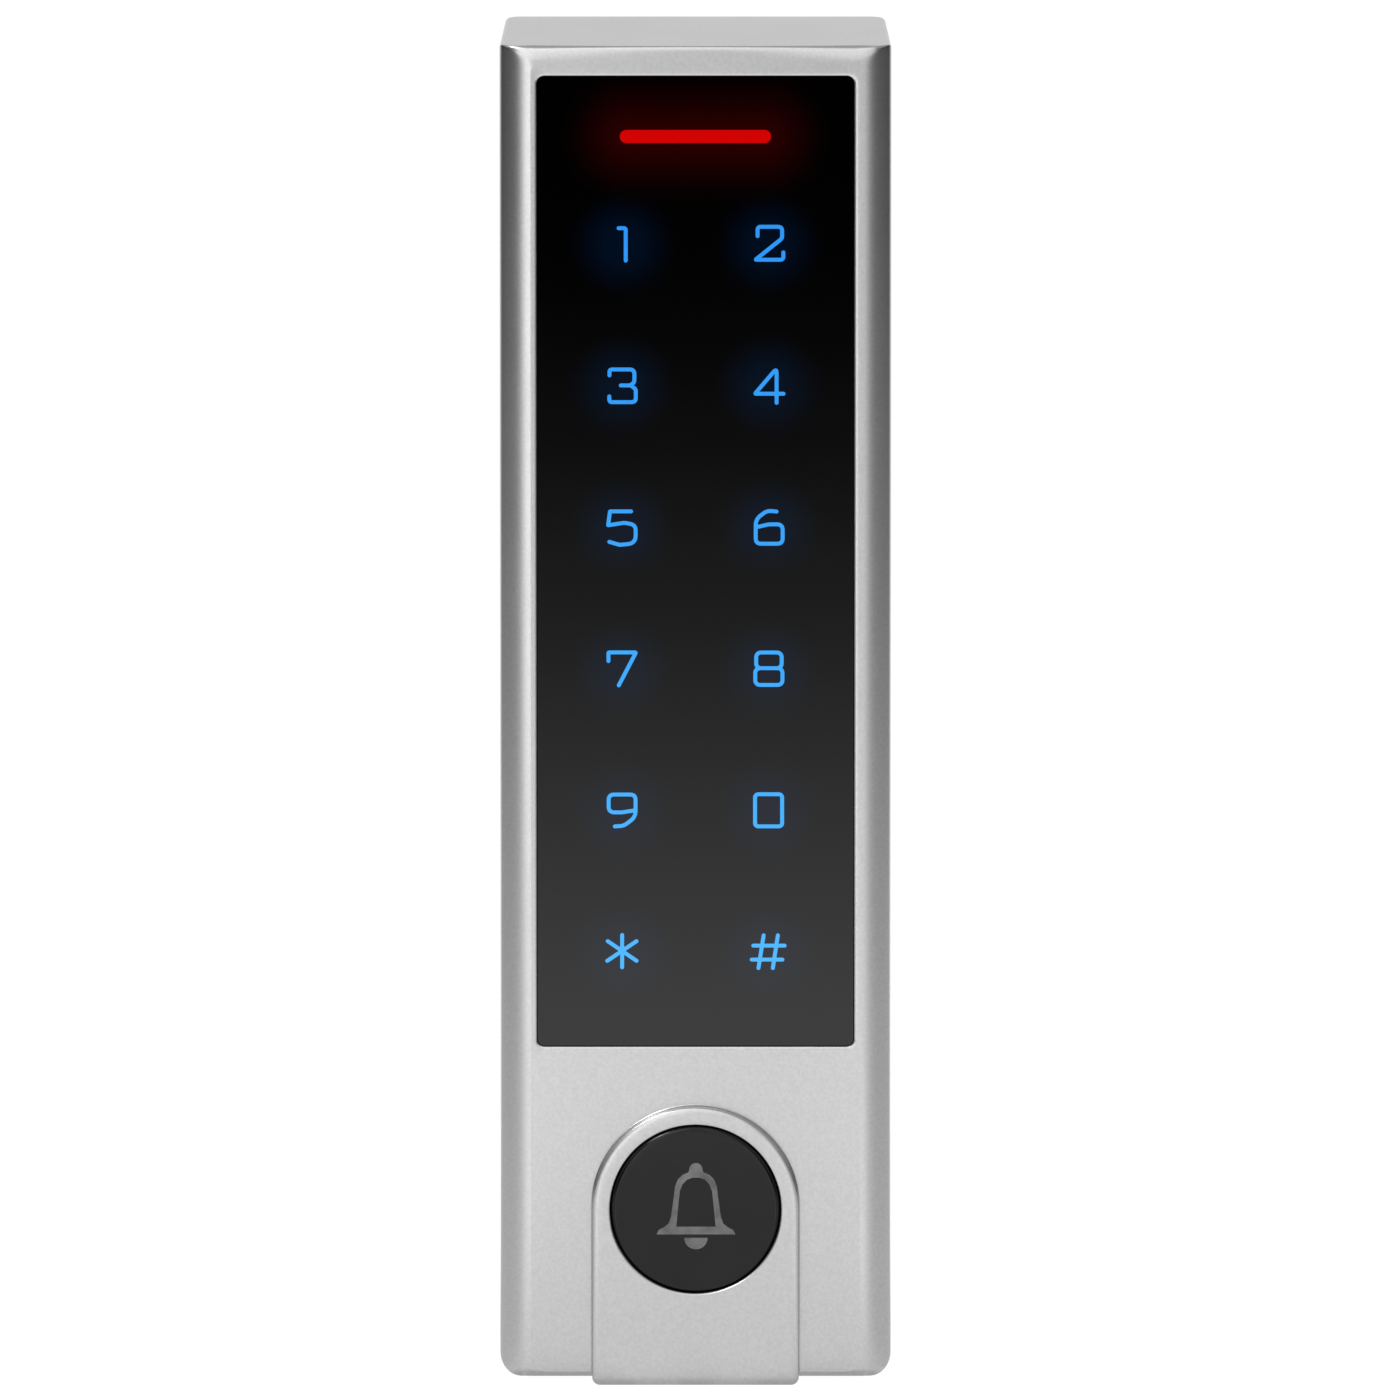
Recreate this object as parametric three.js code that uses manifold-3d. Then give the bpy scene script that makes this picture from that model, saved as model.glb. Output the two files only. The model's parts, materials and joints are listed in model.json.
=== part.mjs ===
// Slim wall-mounted keypad access reader with a bell button.
// Millimetres, +X to the right, -Y out of the front face, +Z up.
// The origin is the centre of the wall bracket's rear face, at half the housing's height.

import * as THREE from 'three';
import { mergeVertices } from 'three/addons/utils/BufferGeometryUtils.js';
import Module from 'manifold-3d';

const wasm = await Module();
wasm.setup();

// ---------- driving dimensions ----------

const WIDTH = 50;
const HEIGHT = 173;
const FRONT = -23.2;                 // front face of the housing
const REAR = -0.25;                  // rear rim of the housing, just clear of the wall
const SIDE_TAPER = 0.5;              // how much each side leans in towards the wall
const TOP = HEIGHT / 2;
const BOTTOM = -HEIGHT / 2;

const FRONT_WALL = 3.4;              // housing wall behind the front face
const CAVITY_HALF_X = 20.6;
const CAVITY_HALF_Z = 82.3;
const POCKET_HALF_X = 22.3;          // rear pocket that takes the cover and the bracket
const POCKET_HALF_Z = 84;

const WINDOW = { x: 20.4, top: 82.8, bottom: -43.5, depth: 2.35, corner: 1.1, ledge: 2.1 };
const GLASS_GAP = 0.12;              // slit all round between the glass and the housing
const GLASS_SINK = 0.25;             // glass face below the front face
const GLASS_THICK = 1.8;

const KEY_PITCH_X = 18.76;
const KEY_PITCH_Z = 18.36;
const KEY_TOP_Z = 60.8;
const KEY_ROWS = 6;
const STATUS_Z = 74.8;
const STATUS_BAR = { length: 19.3, height: 1.7 };

const BUTTON_Z = -64.3;
const BUTTON_R = 10.8;
const BUTTON_HOLE_R = 11.03;
const BUTTON_TRAVEL = 0.9;
const BOSS_R = 13.3;
const BOSS_RISE = 1.6;
const BOSS_LIP = 0.75;               // how far the boss reaches below the housing

const CARRIER = { front: FRONT + FRONT_WALL, thick: 2.2, radius: 13.4, screwX: 16, earR: 3 };

const LEDGE_Y = -6.6;                // ledge that carries the rear seal
const SEAL_THICK = 0.6;
const COVER_THICK = 1.8;
const COVER_REAR = LEDGE_Y + SEAL_THICK + COVER_THICK;
const COVER_SCREWS = { x: 19, rows: [79, 0, -79], padInnerX: 17.2, padDepth: 5, holeDepth: 4 };

const BOARD = { halfX: 16.8, bottom: -79, top: 72, front: -13, thick: 1.6 };
const BOARD_SCREWS = { x: 14.3, rows: [69, -76], postInnerX: 12.4, shortPost: 2 };
const TOUCH_BOARD = { halfX: 19.3, bottom: -44.6, top: 81.4, front: -17.3, thick: 1.2 };

const BRACKET = { halfX: 21.6, halfZ: 83.2, thick: 1.5 };
const CABLE_HOLE = { x: 12.5, top: -9, bottom: -33 };
const SECURITY = { y: -2.2, holeR: 1.3, screwR: 1.15 };

const GAP = 0.05;                    // clearance left between faces that meet
const M2_R = 0.95;
const M2_HOLE_R = 1.05;
const M2_CLEAR_R = 1.2;
const SCREW_HEAD = 1.3;
const HEX_SOCKET_R = 0.7;

// ---------- materials ----------

function finish(color, roughness, metalness) {
  return new THREE.MeshStandardMaterial({ color, roughness, metalness });
}

const SATIN_METAL = [0xc4c4c4, 0.38, 0.9];
const BLACK_GLASS = [0x0b0b0c, 0.06, 0];
const DARK_CAP = [0x2b2b2b, 0.42, 0.4];
const STEEL = [0x9b9d9f, 0.35, 1];
const ZINC_PLATE = [0xaab0b4, 0.45, 1];
const BLACK_PLASTIC = [0x1c1c1d, 0.6, 0];
const GREY_PLASTIC = [0x3a3b3d, 0.6, 0];
const WHITE_PLASTIC = [0xe6e6e2, 0.5, 0];
const GREEN_BOARD = [0x1f5a34, 0.55, 0];
const GREEN_PLASTIC = [0x2f8a48, 0.5, 0];
const RUBBER = [0x222222, 0.9, 0];
const COPPER = [0xb06a3a, 0.35, 1];
const FERRITE = [0x38383a, 0.8, 0];
const TAPE = [0x141414, 0.85, 0];
const RED_PLASTIC = [0xd01010, 0.4, 0];
const BLUE_LENS = [0x9cc8ff, 0.3, 0];

// ---------- geometry helpers ----------

function solid(geometry) {
  const bare = geometry.index ? geometry.toNonIndexed() : geometry.clone();
  bare.deleteAttribute('normal');
  bare.deleteAttribute('uv');
  const merged = mergeVertices(bare, 1e-4);
  const vertProperties = new Float32Array(merged.attributes.position.array);
  const triVerts = new Uint32Array(merged.index.array);
  return new wasm.Manifold(new wasm.Mesh({ numProp: 3, vertProperties, triVerts }));
}

function meshFrom(shape) {
  const cut = shape.getMesh();
  const geometry = new THREE.BufferGeometry();
  geometry.setAttribute('position', new THREE.BufferAttribute(new Float32Array(cut.vertProperties), 3));
  geometry.setIndex(new THREE.BufferAttribute(new Uint32Array(cut.triVerts), 1));
  return geometry;
}

function join(first, ...others) {
  return others.reduce((sum, next) => sum.add(next), first);
}

function cut(body, ...tools) {
  return tools.reduce((rest, tool) => rest.subtract(tool), body);
}

function box(x0, x1, y0, y1, z0, z1) {
  const geometry = new THREE.BoxGeometry(Math.abs(x1 - x0), y1 - y0, z1 - z0);
  geometry.translate((x0 + x1) / 2, (y0 + y1) / 2, (z0 + z1) / 2);
  return solid(geometry);
}

// A cylinder whose axis runs along Y through (x, z).
function rodY(radius, y0, y1, x, z, sides = 24) {
  const geometry = new THREE.CylinderGeometry(radius, radius, y1 - y0, sides);
  geometry.translate(x, (y0 + y1) / 2, z);
  return solid(geometry);
}

// A cylinder whose axis runs along Z through (x, y).
function rodZ(radius, z0, z1, x, y, sides = 16) {
  const geometry = new THREE.CylinderGeometry(radius, radius, z1 - z0, sides);
  geometry.rotateX(Math.PI / 2);
  geometry.translate(x, y, (z0 + z1) / 2);
  return solid(geometry);
}

// A turned piece: profile points are [radius, y], turned about the line through (x, z) along Y.
function turned(profile, x, z, sides = 24) {
  const points = profile.map(([radius, y]) => new THREE.Vector2(radius, y));
  const geometry = new THREE.LatheGeometry([...points, points[0]], sides);
  geometry.translate(x, 0, z);
  return outward(solid(dropFlat(geometry)));
}

// Removes the zero-area triangles that a lathe leaves on its axis.
function dropFlat(geometry) {
  const bare = geometry.toNonIndexed();
  const from = bare.attributes.position.array;
  const kept = [];
  const corner = [new THREE.Vector3(), new THREE.Vector3(), new THREE.Vector3()];
  const triangle = new THREE.Triangle(...corner);
  for (let i = 0; i < from.length; i += 9) {
    corner.forEach((point, k) => point.fromArray(from, i + 3 * k));
    if (triangle.getArea() > 1e-7) kept.push(...from.slice(i, i + 9));
  }
  const clean = new THREE.BufferGeometry();
  clean.setAttribute('position', new THREE.BufferAttribute(new Float32Array(kept), 3));
  return clean;
}

// A profile drawn the other way round gives faces that point in: this turns them out.
function outward(body) {
  if (body.volume() > 0) return body;
  const inside = body.getMesh();
  const flipped = new Uint32Array(inside.triVerts);
  for (let i = 0; i < flipped.length; i += 3) {
    [flipped[i + 1], flipped[i + 2]] = [flipped[i + 2], flipped[i + 1]];
  }
  return new wasm.Manifold(new wasm.Mesh({
    numProp: 3,
    vertProperties: inside.vertProperties,
    triVerts: flipped,
  }));
}

// An outline drawn in X and Z, extruded along Y from y0 to y1.
function plate(shape, y0, y1, curveSegments = 6, bevel = 0) {
  const depth = y1 - y0 - 2 * bevel;
  const geometry = new THREE.ExtrudeGeometry(shape, {
    depth,
    curveSegments,
    bevelEnabled: bevel > 0,
    bevelThickness: bevel,
    bevelSize: bevel,
    bevelOffset: -bevel,
    bevelSegments: 2,
  });
  geometry.rotateX(Math.PI / 2);
  geometry.translate(0, y1 - bevel, 0);
  return solid(geometry);
}

function roundedRect(x0, x1, z0, z1, radius, lowRadius = radius) {
  const shape = new THREE.Shape();
  shape.moveTo(x0 + lowRadius, z0);
  shape.lineTo(x1 - lowRadius, z0);
  shape.absarc(x1 - lowRadius, z0 + lowRadius, lowRadius, -Math.PI / 2, 0);
  shape.lineTo(x1, z1 - radius);
  shape.absarc(x1 - radius, z1 - radius, radius, 0, Math.PI / 2);
  shape.lineTo(x0 + radius, z1);
  shape.absarc(x0 + radius, z1 - radius, radius, Math.PI / 2, Math.PI);
  shape.lineTo(x0, z0 + lowRadius);
  shape.absarc(x0 + lowRadius, z0 + lowRadius, lowRadius, Math.PI, 1.5 * Math.PI);
  return shape;
}

function frameShape(outer, inner) {
  outer.holes.push(inner);
  return outer;
}

// The outline of the recess for the glass, drawn smaller by inset all round.
function panelOutline(inset, corner) {
  return roundedRect(inset - WINDOW.x, WINDOW.x - inset, WINDOW.bottom + inset, WINDOW.top - inset, corner);
}

const reader = new THREE.Group();

function addPiece(name, shape, [color, roughness, metalness], parent = reader) {
  const mesh = new THREE.Mesh(meshFrom(shape), finish(color, roughness, metalness));
  mesh.name = name;
  parent.add(mesh);
  return mesh;
}

// Both sides of the centre line, for pieces placed in pairs.
const SIDES = [-1, 1];

// ---------- front housing ----------

const FLAT_HALF_X = 20;              // the front is flat between these lines, then rolls off
const ROLL_START_Y = -20.9;          // where the side ends and the front roll-off begins
const REAR_CORNER = 2;

function housingPlan() {
  const half = WIDTH / 2;
  const rearHalf = half - SIDE_TAPER;
  const plan = new THREE.Shape();
  plan.moveTo(-FLAT_HALF_X, FRONT);
  plan.lineTo(FLAT_HALF_X, FRONT);
  plan.bezierCurveTo(23.2, FRONT, half, FRONT + 0.8, half, ROLL_START_Y);
  plan.lineTo(rearHalf, REAR - REAR_CORNER);
  plan.quadraticCurveTo(rearHalf, REAR, rearHalf - REAR_CORNER, REAR);
  plan.lineTo(REAR_CORNER - rearHalf, REAR);
  plan.quadraticCurveTo(-rearHalf, REAR, -rearHalf, REAR - REAR_CORNER);
  plan.lineTo(-half, ROLL_START_Y);
  plan.bezierCurveTo(-half, FRONT + 0.8, -23.2, FRONT, -FLAT_HALF_X, FRONT);
  return plan;
}

// Side view of the housing, drawn as (y, z): the top front edge rolls off, the bottom edge less.
function housingProfile() {
  const profile = new THREE.Shape();
  profile.moveTo(5, BOTTOM);
  profile.lineTo(FRONT + 0.8, BOTTOM);
  profile.quadraticCurveTo(FRONT, BOTTOM, FRONT, BOTTOM + 0.9);
  profile.lineTo(FRONT, TOP - 1.9);
  profile.bezierCurveTo(FRONT, TOP - 0.7, FRONT + 0.3, TOP, FRONT + 1, TOP);
  profile.lineTo(5, TOP);
  profile.closePath();
  return profile;
}

function archShape(radius, foot, footRadius) {
  const arch = new THREE.Shape();
  arch.moveTo(-radius + footRadius, foot);
  arch.lineTo(radius - footRadius, foot);
  arch.absarc(radius - footRadius, foot + footRadius, footRadius, -Math.PI / 2, 0);
  arch.lineTo(radius, BUTTON_Z);
  arch.absarc(0, BUTTON_Z, radius, 0, Math.PI);
  arch.lineTo(-radius, foot + footRadius);
  arch.absarc(-radius + footRadius, foot + footRadius, footRadius, Math.PI, 1.5 * Math.PI);
  return arch;
}

function housingBlock() {
  const plan = new THREE.ExtrudeGeometry(
    housingPlan(), { depth: HEIGHT, curveSegments: 6, bevelEnabled: false });
  plan.translate(0, 0, BOTTOM);
  const profile = new THREE.ExtrudeGeometry(
    housingProfile(), { depth: WIDTH + 10, curveSegments: 4, bevelEnabled: false });
  const turn = new THREE.Matrix4().makeBasis(
    new THREE.Vector3(0, 1, 0),
    new THREE.Vector3(0, 0, 1),
    new THREE.Vector3(1, 0, 0),
  );
  profile.applyMatrix4(turn);
  profile.translate(-WIDTH / 2 - 5, 0, 0);
  const elevation = plate(roundedRect(-WIDTH / 2, WIDTH / 2, BOTTOM, TOP, 0.5, 3), FRONT - 5, 5, 3);
  return solid(plan).intersect(solid(profile)).intersect(elevation);
}

function housingPads() {
  const pads = [];
  for (const side of SIDES) {
    const outer = side * (CAVITY_HALF_X + 0.5);
    const pad = side * COVER_SCREWS.padInnerX;
    for (const z of COVER_SCREWS.rows) {
      pads.push(box(pad, outer, LEDGE_Y - COVER_SCREWS.padDepth, LEDGE_Y, z - 3, z + 3));
    }
    const post = side * BOARD_SCREWS.postInnerX;
    for (const z of BOARD_SCREWS.rows) {
      const reach = z < 0 ? CARRIER.front - 0.5 : BOARD.front - BOARD_SCREWS.shortPost;
      pads.push(box(post, outer, reach, BOARD.front - GAP, z - 2.5, z + 2.5));
    }
  }
  return pads;
}

function housingHoles() {
  const holes = [];
  for (const side of SIDES) {
    for (const z of COVER_SCREWS.rows) {
      const deep = LEDGE_Y - COVER_SCREWS.holeDepth;
      holes.push(rodY(M2_HOLE_R, deep, LEDGE_Y + 0.5, side * COVER_SCREWS.x, z, 8));
    }
    for (const z of BOARD_SCREWS.rows) {
      const deep = z < 0 ? 4 : BOARD_SCREWS.shortPost - 0.3;
      holes.push(rodY(M2_HOLE_R, BOARD.front - deep, BOARD.front + 0.5, side * BOARD_SCREWS.x, z, 8));
    }
    const ear = side * CARRIER.screwX;
    holes.push(rodY(M2_HOLE_R, CARRIER.front - 2.4, CARRIER.front + 0.5, ear, BUTTON_Z, 8));
  }
  holes.push(rodZ(SECURITY.holeR, BOTTOM - 1, BOTTOM + 4, 0, SECURITY.y));
  return holes;
}

function frontHousing() {
  const cavityFront = FRONT + FRONT_WALL;
  const boss = plate(archShape(BOSS_R, BOTTOM - BOSS_LIP, 1), FRONT - BOSS_RISE, FRONT + 3, 8, 0.5);
  let body = housingBlock().add(boss);
  const cavity = plate(
    roundedRect(-CAVITY_HALF_X, CAVITY_HALF_X, -CAVITY_HALF_Z, CAVITY_HALF_Z, 1.5),
    cavityFront, LEDGE_Y + 1, 1);
  const pocket = plate(
    roundedRect(-POCKET_HALF_X, POCKET_HALF_X, -POCKET_HALF_Z, POCKET_HALF_Z, 2), LEDGE_Y, 3, 2);
  body = cut(body, cavity, pocket);
  body = join(body, ...housingPads());
  const recess = plate(panelOutline(0, WINDOW.corner), FRONT - 1, FRONT + WINDOW.depth, 2);
  const opening = plate(panelOutline(WINDOW.ledge, 1), FRONT - 1, cavityFront + 1, 1);
  const buttonHole = rodY(BUTTON_HOLE_R, FRONT - BOSS_RISE - 1, cavityFront + 1, 0, BUTTON_Z, 40);
  return cut(body, recess, opening, buttonHole, ...housingHoles());
}

addPiece('front_housing', frontHousing(), SATIN_METAL);

// ---------- touch panel and its lighting ----------

const GLASS_FRONT = FRONT + GLASS_SINK;
const GLASS_REAR = GLASS_FRONT + GLASS_THICK;
const LEDGE_FRONT = FRONT + WINDOW.depth;
const TAPE_GAP = 0.02;
const LIGHT_SHEET = { thick: 0.4, inset: 2.4 };
const BAFFLE = { rear: TOUCH_BOARD.front - 0.1, flangeX: 20.1, wellR: 6.6 };
const STATUS_SLOT = { halfX: 10.4, halfZ: 1.6 };

function keyPlaces() {
  const places = [];
  for (let row = 0; row < KEY_ROWS; row += 1) {
    for (const side of SIDES) places.push([side * KEY_PITCH_X / 2, KEY_TOP_Z - row * KEY_PITCH_Z]);
  }
  return places;
}

function lightBaffle() {
  const flangeFront = FRONT + FRONT_WALL + 0.1;
  const stepFront = GLASS_REAR + LIGHT_SHEET.thick + 0.15;
  const step = plate(panelOutline(LIGHT_SHEET.inset, 1), stepFront, flangeFront + 0.2, 1);
  const flange = plate(
    roundedRect(-BAFFLE.flangeX, BAFFLE.flangeX, TOUCH_BOARD.bottom, TOUCH_BOARD.top, 1),
    flangeFront, BAFFLE.rear, 1);
  const wells = keyPlaces().map(([x, z]) => rodY(BAFFLE.wellR, FRONT, 0, x, z, 16));
  const { halfX, halfZ } = STATUS_SLOT;
  const slot = box(-halfX, halfX, FRONT, 0, STATUS_Z - halfZ, STATUS_Z + halfZ);
  return cut(join(step, flange), ...wells, slot);
}

function statusLightBar() {
  const halfX = STATUS_BAR.length / 2;
  const halfZ = STATUS_BAR.height / 2;
  const outline = roundedRect(-halfX, halfX, STATUS_Z - halfZ, STATUS_Z + halfZ, 0.8);
  return plate(outline, GLASS_REAR + 0.6, BAFFLE.rear - 1, 2);
}

addPiece('touch_panel_glass', plate(
  panelOutline(GLASS_GAP, WINDOW.corner - GLASS_GAP), GLASS_FRONT, GLASS_REAR, 2), BLACK_GLASS);
addPiece('panel_adhesive', plate(
  frameShape(panelOutline(0.5, 0.8), panelOutline(2, 0.5)),
  GLASS_REAR + TAPE_GAP, LEDGE_FRONT - TAPE_GAP, 1), TAPE);
addPiece('light_diffuser', plate(
  panelOutline(LIGHT_SHEET.inset, 0.8),
  GLASS_REAR + GAP, GLASS_REAR + GAP + LIGHT_SHEET.thick, 1), WHITE_PLASTIC);
addPiece('key_light_baffle', lightBaffle(), BLACK_PLASTIC);
addPiece('status_light_bar', statusLightBar(), RED_PLASTIC);

addPiece('touch_board', plate(
  roundedRect(-TOUCH_BOARD.halfX, TOUCH_BOARD.halfX, TOUCH_BOARD.bottom, TOUCH_BOARD.top, 1),
  TOUCH_BOARD.front, TOUCH_BOARD.front + TOUCH_BOARD.thick, 1), GREEN_BOARD);

// A surface-mount light: a small block with a lens on its front.
function ledPart(x, z) {
  const base = TOUCH_BOARD.front - GAP;
  const block = box(x - 1.5, x + 1.5, base - 0.5, base, z - 0.75, z + 0.75);
  const lens = box(x - 1, x + 1, base - 0.75, base - 0.4, z - 0.6, z + 0.6);
  return join(block, lens);
}

keyPlaces().forEach(([x, z], index) => addPiece(`key_led_${index + 1}`, ledPart(x, z), BLUE_LENS));
const STATUS_LED_PITCH = 6.4;
[-1, 0, 1].forEach((place, index) => addPiece(
  `status_led_${index + 1}`, ledPart(place * STATUS_LED_PITCH, STATUS_Z), RED_PLASTIC));

// ---------- card reader antenna ----------

const COIL = { x: 17.5, top: 77, bottom: -38, wide: 2.2, thick: 0.5 };
const COIL_FRONT = TOUCH_BOARD.front + TOUCH_BOARD.thick + GAP;
const FERRITE_FRONT = COIL_FRONT + COIL.thick + GAP;

addPiece('antenna_coil', plate(
  frameShape(
    roundedRect(-COIL.x, COIL.x, COIL.bottom, COIL.top, 4),
    roundedRect(COIL.wide - COIL.x, COIL.x - COIL.wide, COIL.bottom + COIL.wide, COIL.top - COIL.wide, 2)),
  COIL_FRONT, COIL_FRONT + COIL.thick, 2), COPPER);
addPiece('ferrite_sheet', plate(
  roundedRect(-COIL.x - 0.6, COIL.x + 0.6, COIL.bottom - 0.6, COIL.top + 0.6, 2),
  FERRITE_FRONT, FERRITE_FRONT + 0.3, 1), FERRITE);

// ---------- main board ----------

const BOARD_REAR = BOARD.front + BOARD.thick;
const TERMINAL = { poles: 7, pitch: 3.5, z: -21, halfZ: 4, rear: -4.9 };
const RELAY = { halfX: 7, bottom: 34, top: 43.5, height: 4.9, footInset: 0.7 };
const BUZZER = { z: 13, r: 4.6, height: 4.4, holeR: 1 };
const CHIP = { halfX: 3.6, bottom: 16, top: 23.6, thick: 1.1, legs: 8, legReach: 4.6 };
const CONNECTOR = { halfX: 7, bottom: -43.4, top: -40.4 };
const SENSOR = { x: 10.6, halfX: 1.6, bottom: -41, top: -38.8, lensR: 0.8 };

function screwAlongY(x, z, headRear, headThick, tip, headR = 1.9) {
  const head = headRear - headThick;
  const shank = rodY(M2_R, tip, head + 0.1, x, z, 8);
  const top = rodY(headR, head, headRear, x, z, 12);
  const socket = rodY(HEX_SOCKET_R, headRear - 0.7, headRear + 0.3, x, z, 6);
  return cut(join(top, shank), socket);
}

function mainBoard() {
  const board = plate(
    roundedRect(-BOARD.halfX, BOARD.halfX, BOARD.bottom, BOARD.top, 1.2), BOARD.front, BOARD_REAR, 1);
  const holes = [];
  for (const side of SIDES) {
    for (const z of BOARD_SCREWS.rows) {
      holes.push(rodY(M2_CLEAR_R, BOARD.front - 1, BOARD_REAR + 1, side * BOARD_SCREWS.x, z, 10));
    }
  }
  return cut(board, ...holes);
}

addPiece('main_board', mainBoard(), GREEN_BOARD);

let boardScrew = 0;
for (const z of BOARD_SCREWS.rows) {
  for (const side of SIDES) {
    boardScrew += 1;
    const tip = BOARD.front - (z < 0 ? 3.4 : 1.5);
    const screw = screwAlongY(side * BOARD_SCREWS.x, z, BOARD_REAR + SCREW_HEAD + GAP, SCREW_HEAD, tip);
    addPiece(`board_screw_${boardScrew}`, screw, ZINC_PLATE);
  }
}

function relay() {
  const { halfX, bottom, top, height, footInset } = RELAY;
  const can = plate(
    roundedRect(-halfX, halfX, bottom, top, 0.8), BOARD_REAR + 0.5, BOARD_REAR + height, 1, 0.3);
  const footX = halfX - footInset;
  const foot = box(-footX, footX, BOARD_REAR + GAP, BOARD_REAR + 1, bottom + footInset, top - footInset);
  return join(can, foot);
}

function buzzer() {
  const { z, r, height, holeR } = BUZZER;
  const can = rodY(r, BOARD_REAR + GAP, BOARD_REAR + height, 0, z, 24);
  return cut(can, rodY(holeR, BOARD_REAR + height - 0.8, BOARD_REAR + height + 1, 0, z, 12));
}

function processorChip() {
  const { halfX, bottom, top, thick, legs, legReach } = CHIP;
  const front = BOARD.front - GAP;
  const pitch = (top - bottom) / legs;
  const legPieces = [];
  for (let index = 0; index < legs; index += 1) {
    const at = bottom + (index + 0.5) * pitch;
    legPieces.push(box(-legReach, legReach, front - 0.35, front, at - 0.2, at + 0.2));
  }
  return join(box(-halfX, halfX, front - thick, front - 0.1, bottom, top), ...legPieces);
}

function terminalBlock() {
  const half = TERMINAL.poles * TERMINAL.pitch / 2;
  const { z, halfZ, rear } = TERMINAL;
  const block = join(
    box(-half, half, BOARD_REAR + GAP, rear - 1.4, z - halfZ, z + halfZ),
    box(-half, half, BOARD_REAR + GAP, rear, z - halfZ, z + halfZ - 2.4));
  const cuts = [];
  for (let pole = 0; pole < TERMINAL.poles; pole += 1) {
    const x = (pole + 0.5) * TERMINAL.pitch - half;
    cuts.push(box(x - 1.1, x + 1.1, rear - 3.5, rear + 1, z - halfZ + 1, z - halfZ + 3.6));
    cuts.push(rodY(0.95, rear - 2.6, rear + 1, x, z + halfZ - 1.2, 8));
  }
  return cut(block, ...cuts);
}

function boardConnector() {
  const { halfX, bottom, top } = CONNECTOR;
  const front = TOUCH_BOARD.front + TOUCH_BOARD.thick + GAP;
  const rear = BOARD.front - GAP;
  const body = box(-halfX, halfX, front, rear, bottom, top);
  const keyway = box(-2, 2, front - 1, front + 1, top - 0.5, top + 0.4);
  return cut(body, keyway);
}

function lightSensor() {
  const { x, halfX, bottom, top, lensR } = SENSOR;
  const block = box(x - halfX, x + halfX, BOARD_REAR + GAP, BOARD_REAR + 0.9, bottom, top);
  return join(block, rodY(lensR, BOARD_REAR + 0.5, BOARD_REAR + 1.3, x, (bottom + top) / 2, 12));
}

addPiece('relay', relay(), GREY_PLASTIC);
addPiece('buzzer', buzzer(), BLACK_PLASTIC);
addPiece('processor_chip', processorChip(), GREY_PLASTIC);
addPiece('terminal_block', terminalBlock(), GREEN_PLASTIC);
addPiece('board_connector', boardConnector(), WHITE_PLASTIC);
addPiece('tamper_light_sensor', lightSensor(), BLUE_LENS);

// ---------- bell button ----------

const CAP_FRONT = FRONT - BOSS_RISE + 0.1;
const CAP_REAR = CARRIER.front - BUTTON_TRAVEL - 0.25;
const CAP_INNER = FRONT + 0.2;
const CARRIER_REAR = CARRIER.front + CARRIER.thick;
const SPRING = { wire: 0.3, r: 4.5, turns: 3.25, stepsPerTurn: 12 };
const SPRING_POCKET = { r: 5.6, depth: 1.2 };
const CAP = { edge: 0.35, innerR: 7.6, socketR: 1.65, socketDepth: 1 };
const SEAL_GROOVE = { front: -22.3, rear: -21.5, depth: 0.55, slack: 0.2, proud: 0.1 };
const STEM = { r: 3, boreR: 3.2, grooveR: 2.2, pinR: 1.5, tip: -16.6 };
const CLIP_GROOVE = { front: CARRIER_REAR + 0.1, rear: CARRIER_REAR + 0.7 };
const CLIP = { r: 4.3, mouthHalf: 1.7 };
const SWITCH = { front: -15.6, half: 3, plungerR: 1.6 };

// A cup with a groove for the seal ring round it and a socket for the stem in its floor.
function buttonCap() {
  const { edge, innerR, socketR, socketDepth } = CAP;
  const grooveR = BUTTON_R - SEAL_GROOVE.depth;
  return turned([
    [0, CAP_FRONT], [BUTTON_R - edge, CAP_FRONT], [BUTTON_R, CAP_FRONT + edge],
    [BUTTON_R, SEAL_GROOVE.front], [grooveR, SEAL_GROOVE.front],
    [grooveR, SEAL_GROOVE.rear], [BUTTON_R, SEAL_GROOVE.rear], [BUTTON_R, CAP_REAR],
    [innerR, CAP_REAR], [innerR, CAP_INNER], [socketR, CAP_INNER],
    [socketR, CAP_INNER - socketDepth], [0, CAP_INNER - socketDepth],
  ], 0, BUTTON_Z, 40);
}

function sealRing() {
  const inner = BUTTON_R - SEAL_GROOVE.depth + GAP;
  const outer = BUTTON_R + SEAL_GROOVE.proud;
  const front = SEAL_GROOVE.front + SEAL_GROOVE.slack;
  const rear = SEAL_GROOVE.rear - SEAL_GROOVE.slack;
  return turned([[inner, front], [outer, front], [outer, rear], [inner, rear]], 0, BUTTON_Z, 40);
}

function buttonStem() {
  const { r, grooveR, tip, pinR } = STEM;
  const pinTop = CAP_INNER - CAP.socketDepth + 0.1;
  return turned([
    [0, pinTop], [pinR, pinTop], [pinR, CAP_INNER + GAP], [r, CAP_INNER + GAP],
    [r, CLIP_GROOVE.front], [grooveR, CLIP_GROOVE.front], [grooveR, CLIP_GROOVE.rear],
    [r - 0.3, CLIP_GROOVE.rear], [r - 0.5, tip], [0, tip],
  ], 0, BUTTON_Z, 16);
}

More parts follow.
